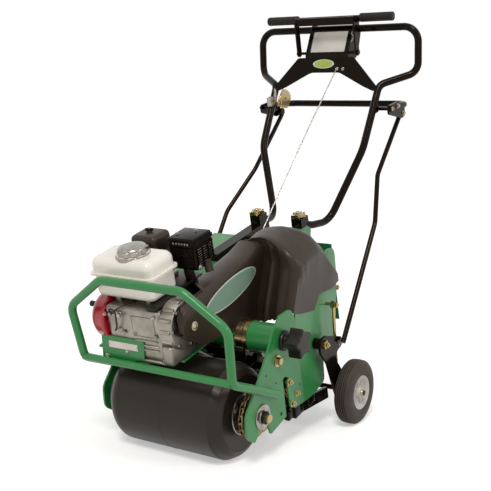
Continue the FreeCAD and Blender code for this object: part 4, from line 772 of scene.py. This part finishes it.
def wheels():
    """Ribbed tyres on dished rims, with hub caps on the axle."""
    back, rise = WHEEL
    for side, word in ((1, "left"), (-1, "right")):
        start, out = side * 285, (side, 0, 0)
        tread = [(4, 53), (0.6, 62), (0.2, 74), (2.4, 88), (6, 95.5), (9.5, 99.2)]
        for k in range(5):
            groove = 12 + 7 * k
            tread += [(groove, 100.4 + min(k, 4 - k) * 0.6), (groove + 0.9, 97.6), (groove + 2.1, 97.6),
                      (groove + 3, 100.6 + min(k, 4 - k) * 0.6)]
        tread += [(45.5, 99.2), (49, 95.5), (52.6, 88), (54.8, 74), (54.4, 62), (51, 53)]
        tyre = bmesh.new()
        lathe(tyre, (start, back, rise), out, tread, 112, closed=True)
        dress(tyre, f"ribbed_tyre_{word}", "tyre", f"{word}_wheel", (f"{word}_tyre",))
        rim = bmesh.new()
        dish = [(2, 8.1), (2, 17), (12, 18), (14, 38), (6, 44), (3, 50), (1.5, 53.4), (4, 54), (51, 54),
                (53.5, 53.4), (52, 50), (49, 44), (43, 39), (41, 24), (46, 19), (53, 16), (54, 14), (54, 8.1)]
        lathe(rim, (start, back, rise), out, dish, 72, closed=True)
        dress(rim, f"dished_rim_{word}", "rim", f"{word}_wheel", (f"{word}_rim",))
        webs = bmesh.new()
        for i in range(8):
            angle = 2 * math.pi * i / 8
            aim = Vector((0, math.cos(angle), math.sin(angle)))
            web = along(Vector((start + side * 42.2, back, rise)) + aim * 18, aim)
            slab(webs, [(-2, 0), (2, 0), (2, 26), (-2, 26)], web @ Matrix.Rotation(math.pi / 2, 4, "X"), -2.5, 5)
        dress(webs, f"rim_webs_{word}", "rim", f"{word}_wheel", soften=0.5)
        cap = bmesh.new()
        lathe(cap, (side * 339.2, back, rise), out,
              [(0, 0), (0, 10.5), (2, 10.5), (5, 9), (7.5, 5), (8, 0)], 32)
        dress(cap, f"axle_cap_{word}", "zinc", "wheel_frame")


def corners(first, second):
    """Lowest and highest corner of the box between two points."""
    return tuple(map(min, first, second)), tuple(map(max, first, second))


def lift_gear():
    """Rails' brackets, bell-crank bolts, rod ends and the guide rods' nuts."""
    for side, word in ((1, "left"), (-1, "right")):
        lumps = bmesh.new()
        edge = side * 245
        for inner, outer, front, back, low, high, corner in ((16, 6, 176, 224, -112, -66, 4),
                                                             (14, 5, 140, 160, -100, -70, 5),
                                                             (14, 3, 258, 300, -118, -84, 3)):
            brick(lumps, *corners((edge - side * inner, front, low), (edge + side * outer, back, high)), corner, 3)
        dress(lumps, f"rail_brackets_{word}", "black_paint", soften=0.8)
        crank = bmesh.new()
        bolt(crank, (side * 280, 432, 22), (side, 0, 0), 13, 10, 0)
        dress(crank, f"crank_bolts_{word}", "steel", "wheel_frame")
        pivot = bmesh.new()
        bolt(pivot, (side * 288.5, 335, 62), (side, 0, 0), 15, 12, 4)
        bolt(pivot, (side * 271.4, 445, 143), (side, 0, 0), 12, 9, 4)
        dress(pivot, f"pivot_nuts_{word}", "zinc")


belt_shell()
cover_fittings()
drum()
side_plate_fittings()
knob_and_stars()
wheels()
lift_gear()


# ---------------------------------------------------------------- handle and controls
def console():
    """Plain plates, fasteners and cheeks of the console and the dash."""
    lean = math.radians(20)
    dash = Matrix.Translation((0, 1008, 690)) @ Matrix.Rotation(-lean, 4, "X") @ FACING["front"]
    for size, name, look, lift in ((1.0, "dash_badge_border", badge_rim, 4.1),
                                   (0.86, "dash_badge", badge_lime, 4.3)):
        oval = bmesh.new()
        slab(oval, ellipse(-6, 76, 41 * size, 15.5 * size), dash, lift, 0.8)
        dress(oval, name, "black_paint", look=look)
    bolts = bmesh.new()
    for across, up in ((47, 58), (70, 58)):
        spot = dash @ Vector((across, up, 4))
        bolt(bolts, spot, (0, -math.cos(lean), math.sin(lean)), 8, 6, 0)
    for back, rise in ((1095, 852), (1114, 812), (1102, 790)):
        bolt(bolts, (83, back, rise), (1, 0, 0), 9, 8, 0)
    dress(bolts, "console_bolts", "steel")
    face = Vector((0, 1112 - 1050, 878 - 792)).normalized()
    sheet = Matrix(((1, 0, 0, 0), (0, face.y, -face.z, 1050), (0, face.z, face.y, 792), (0, 0, 0, 1)))
    panel = bmesh.new()
    slab(panel, [(-66, 8), (66, 8), (66, 84), (-66, 84)], sheet, 0.1, 1.2, 3)
    dress(panel, "console_plate", "steel", look=plate_silver, soften=0.3)
    cheek = bmesh.new()
    outline = [(1036, 752), (1052, 742), (1124, 776), (1162, 850), (1150, 884), (1112, 880), (1046, 792)]
    for side in (1, -1):
        slab(cheek, outline, "side", side * 80.2, side * 3, 6)
    dress(cheek, "console_cheeks", "black_paint", soften=0.8)


def handle_fittings():
    """Foam grips, lever end fittings, clamps and the toothed latch."""
    for side, word in ((1, "left"), (-1, "right")):
        grip = bmesh.new()
        profile = [(0, 9.1), (0, 13.5), (2, 15)]
        for k in range(9):
            profile += [(10 + 12 * k, 15), (12 + 12 * k, 14.2), (14 + 12 * k, 15)]
        profile += [(118, 15), (121, 13.5), (122, 9.1)]
        lathe(grip, (side * 121, 1090, 906), (side, 0, 0), profile, 40, closed=True)
        dress(grip, f"foam_grip_{word}", "rubber", "clutch_bail", ("bail_grips",))
    cap = bmesh.new()
    for side in (1, -1):
        lathe(cap, (side * 237, 1090, 906), (side, 0, 0), [(0, 0), (0, 12), (4, 11), (6, 6), (6, 0)], 28)
    dress(cap, "bail_end_caps", "black_plastic", "clutch_bail")
    ferrule = bmesh.new()
    first, last = Vector((48, 1057, 769)), Vector((69, 1070, 804))
    line = (last - first).normalized()
    rod(ferrule, first, line, 3.5, 6, 24, end=5)
    rod(ferrule, first + line * 6, line, 5, 30, 24)
    rod(ferrule, first + line * 36, line, 5, 5, 24, end=2)
    rod(ferrule, first + line * 41, line, 1.8, 52, 16)
    dress(ferrule, "cable_ferrule", "steel")
    latch = bmesh.new()
    points = [(985, 646), (1000, 612)]
    for i in range(9):
        angle = math.radians(-62 + 17 * i)
        for part, reach in ((-4, 60), (0, 65), (4, 60)):
            turn = angle + math.radians(part)
            points.append((1008 + reach * math.cos(turn), 638 + reach * 0.62 * math.sin(turn)))
    slab(latch, points, "side", -181, 5)
    rod(latch, (-190, 985, 632), (1, 0, 0), 8, 16, 24)
    dress(latch, "toothed_latch", "zinc", instead=("latch_sector",), soften=0.5)
    bolts = bmesh.new()
    bolt(bolts, (-176, 996, 636), (1, 0, 0), 11, 8, 0)
    bolt(bolts, (-176, 1036, 640), (1, 0, 0), 8, 6, 0)
    for side in (1, -1):
        bolt(bolts, (side * 254, 990, 616), (side, 0, 0), 13, 10, 4)
    dress(bolts, "handle_bolts", "zinc")
    ends = bmesh.new()
    for side in (1, -1):
        bolt(ends, (side * 253.2, 1087, 576), (side, 0, 0), 12, 9, 0)
        bolt(ends, (side * 253.2, 1046, 612), (side, 0, 0), 12, 9, 0)
    dress(ends, "bail_bolts", "zinc", "lift_bail")


console()
handle_fittings()
studio()
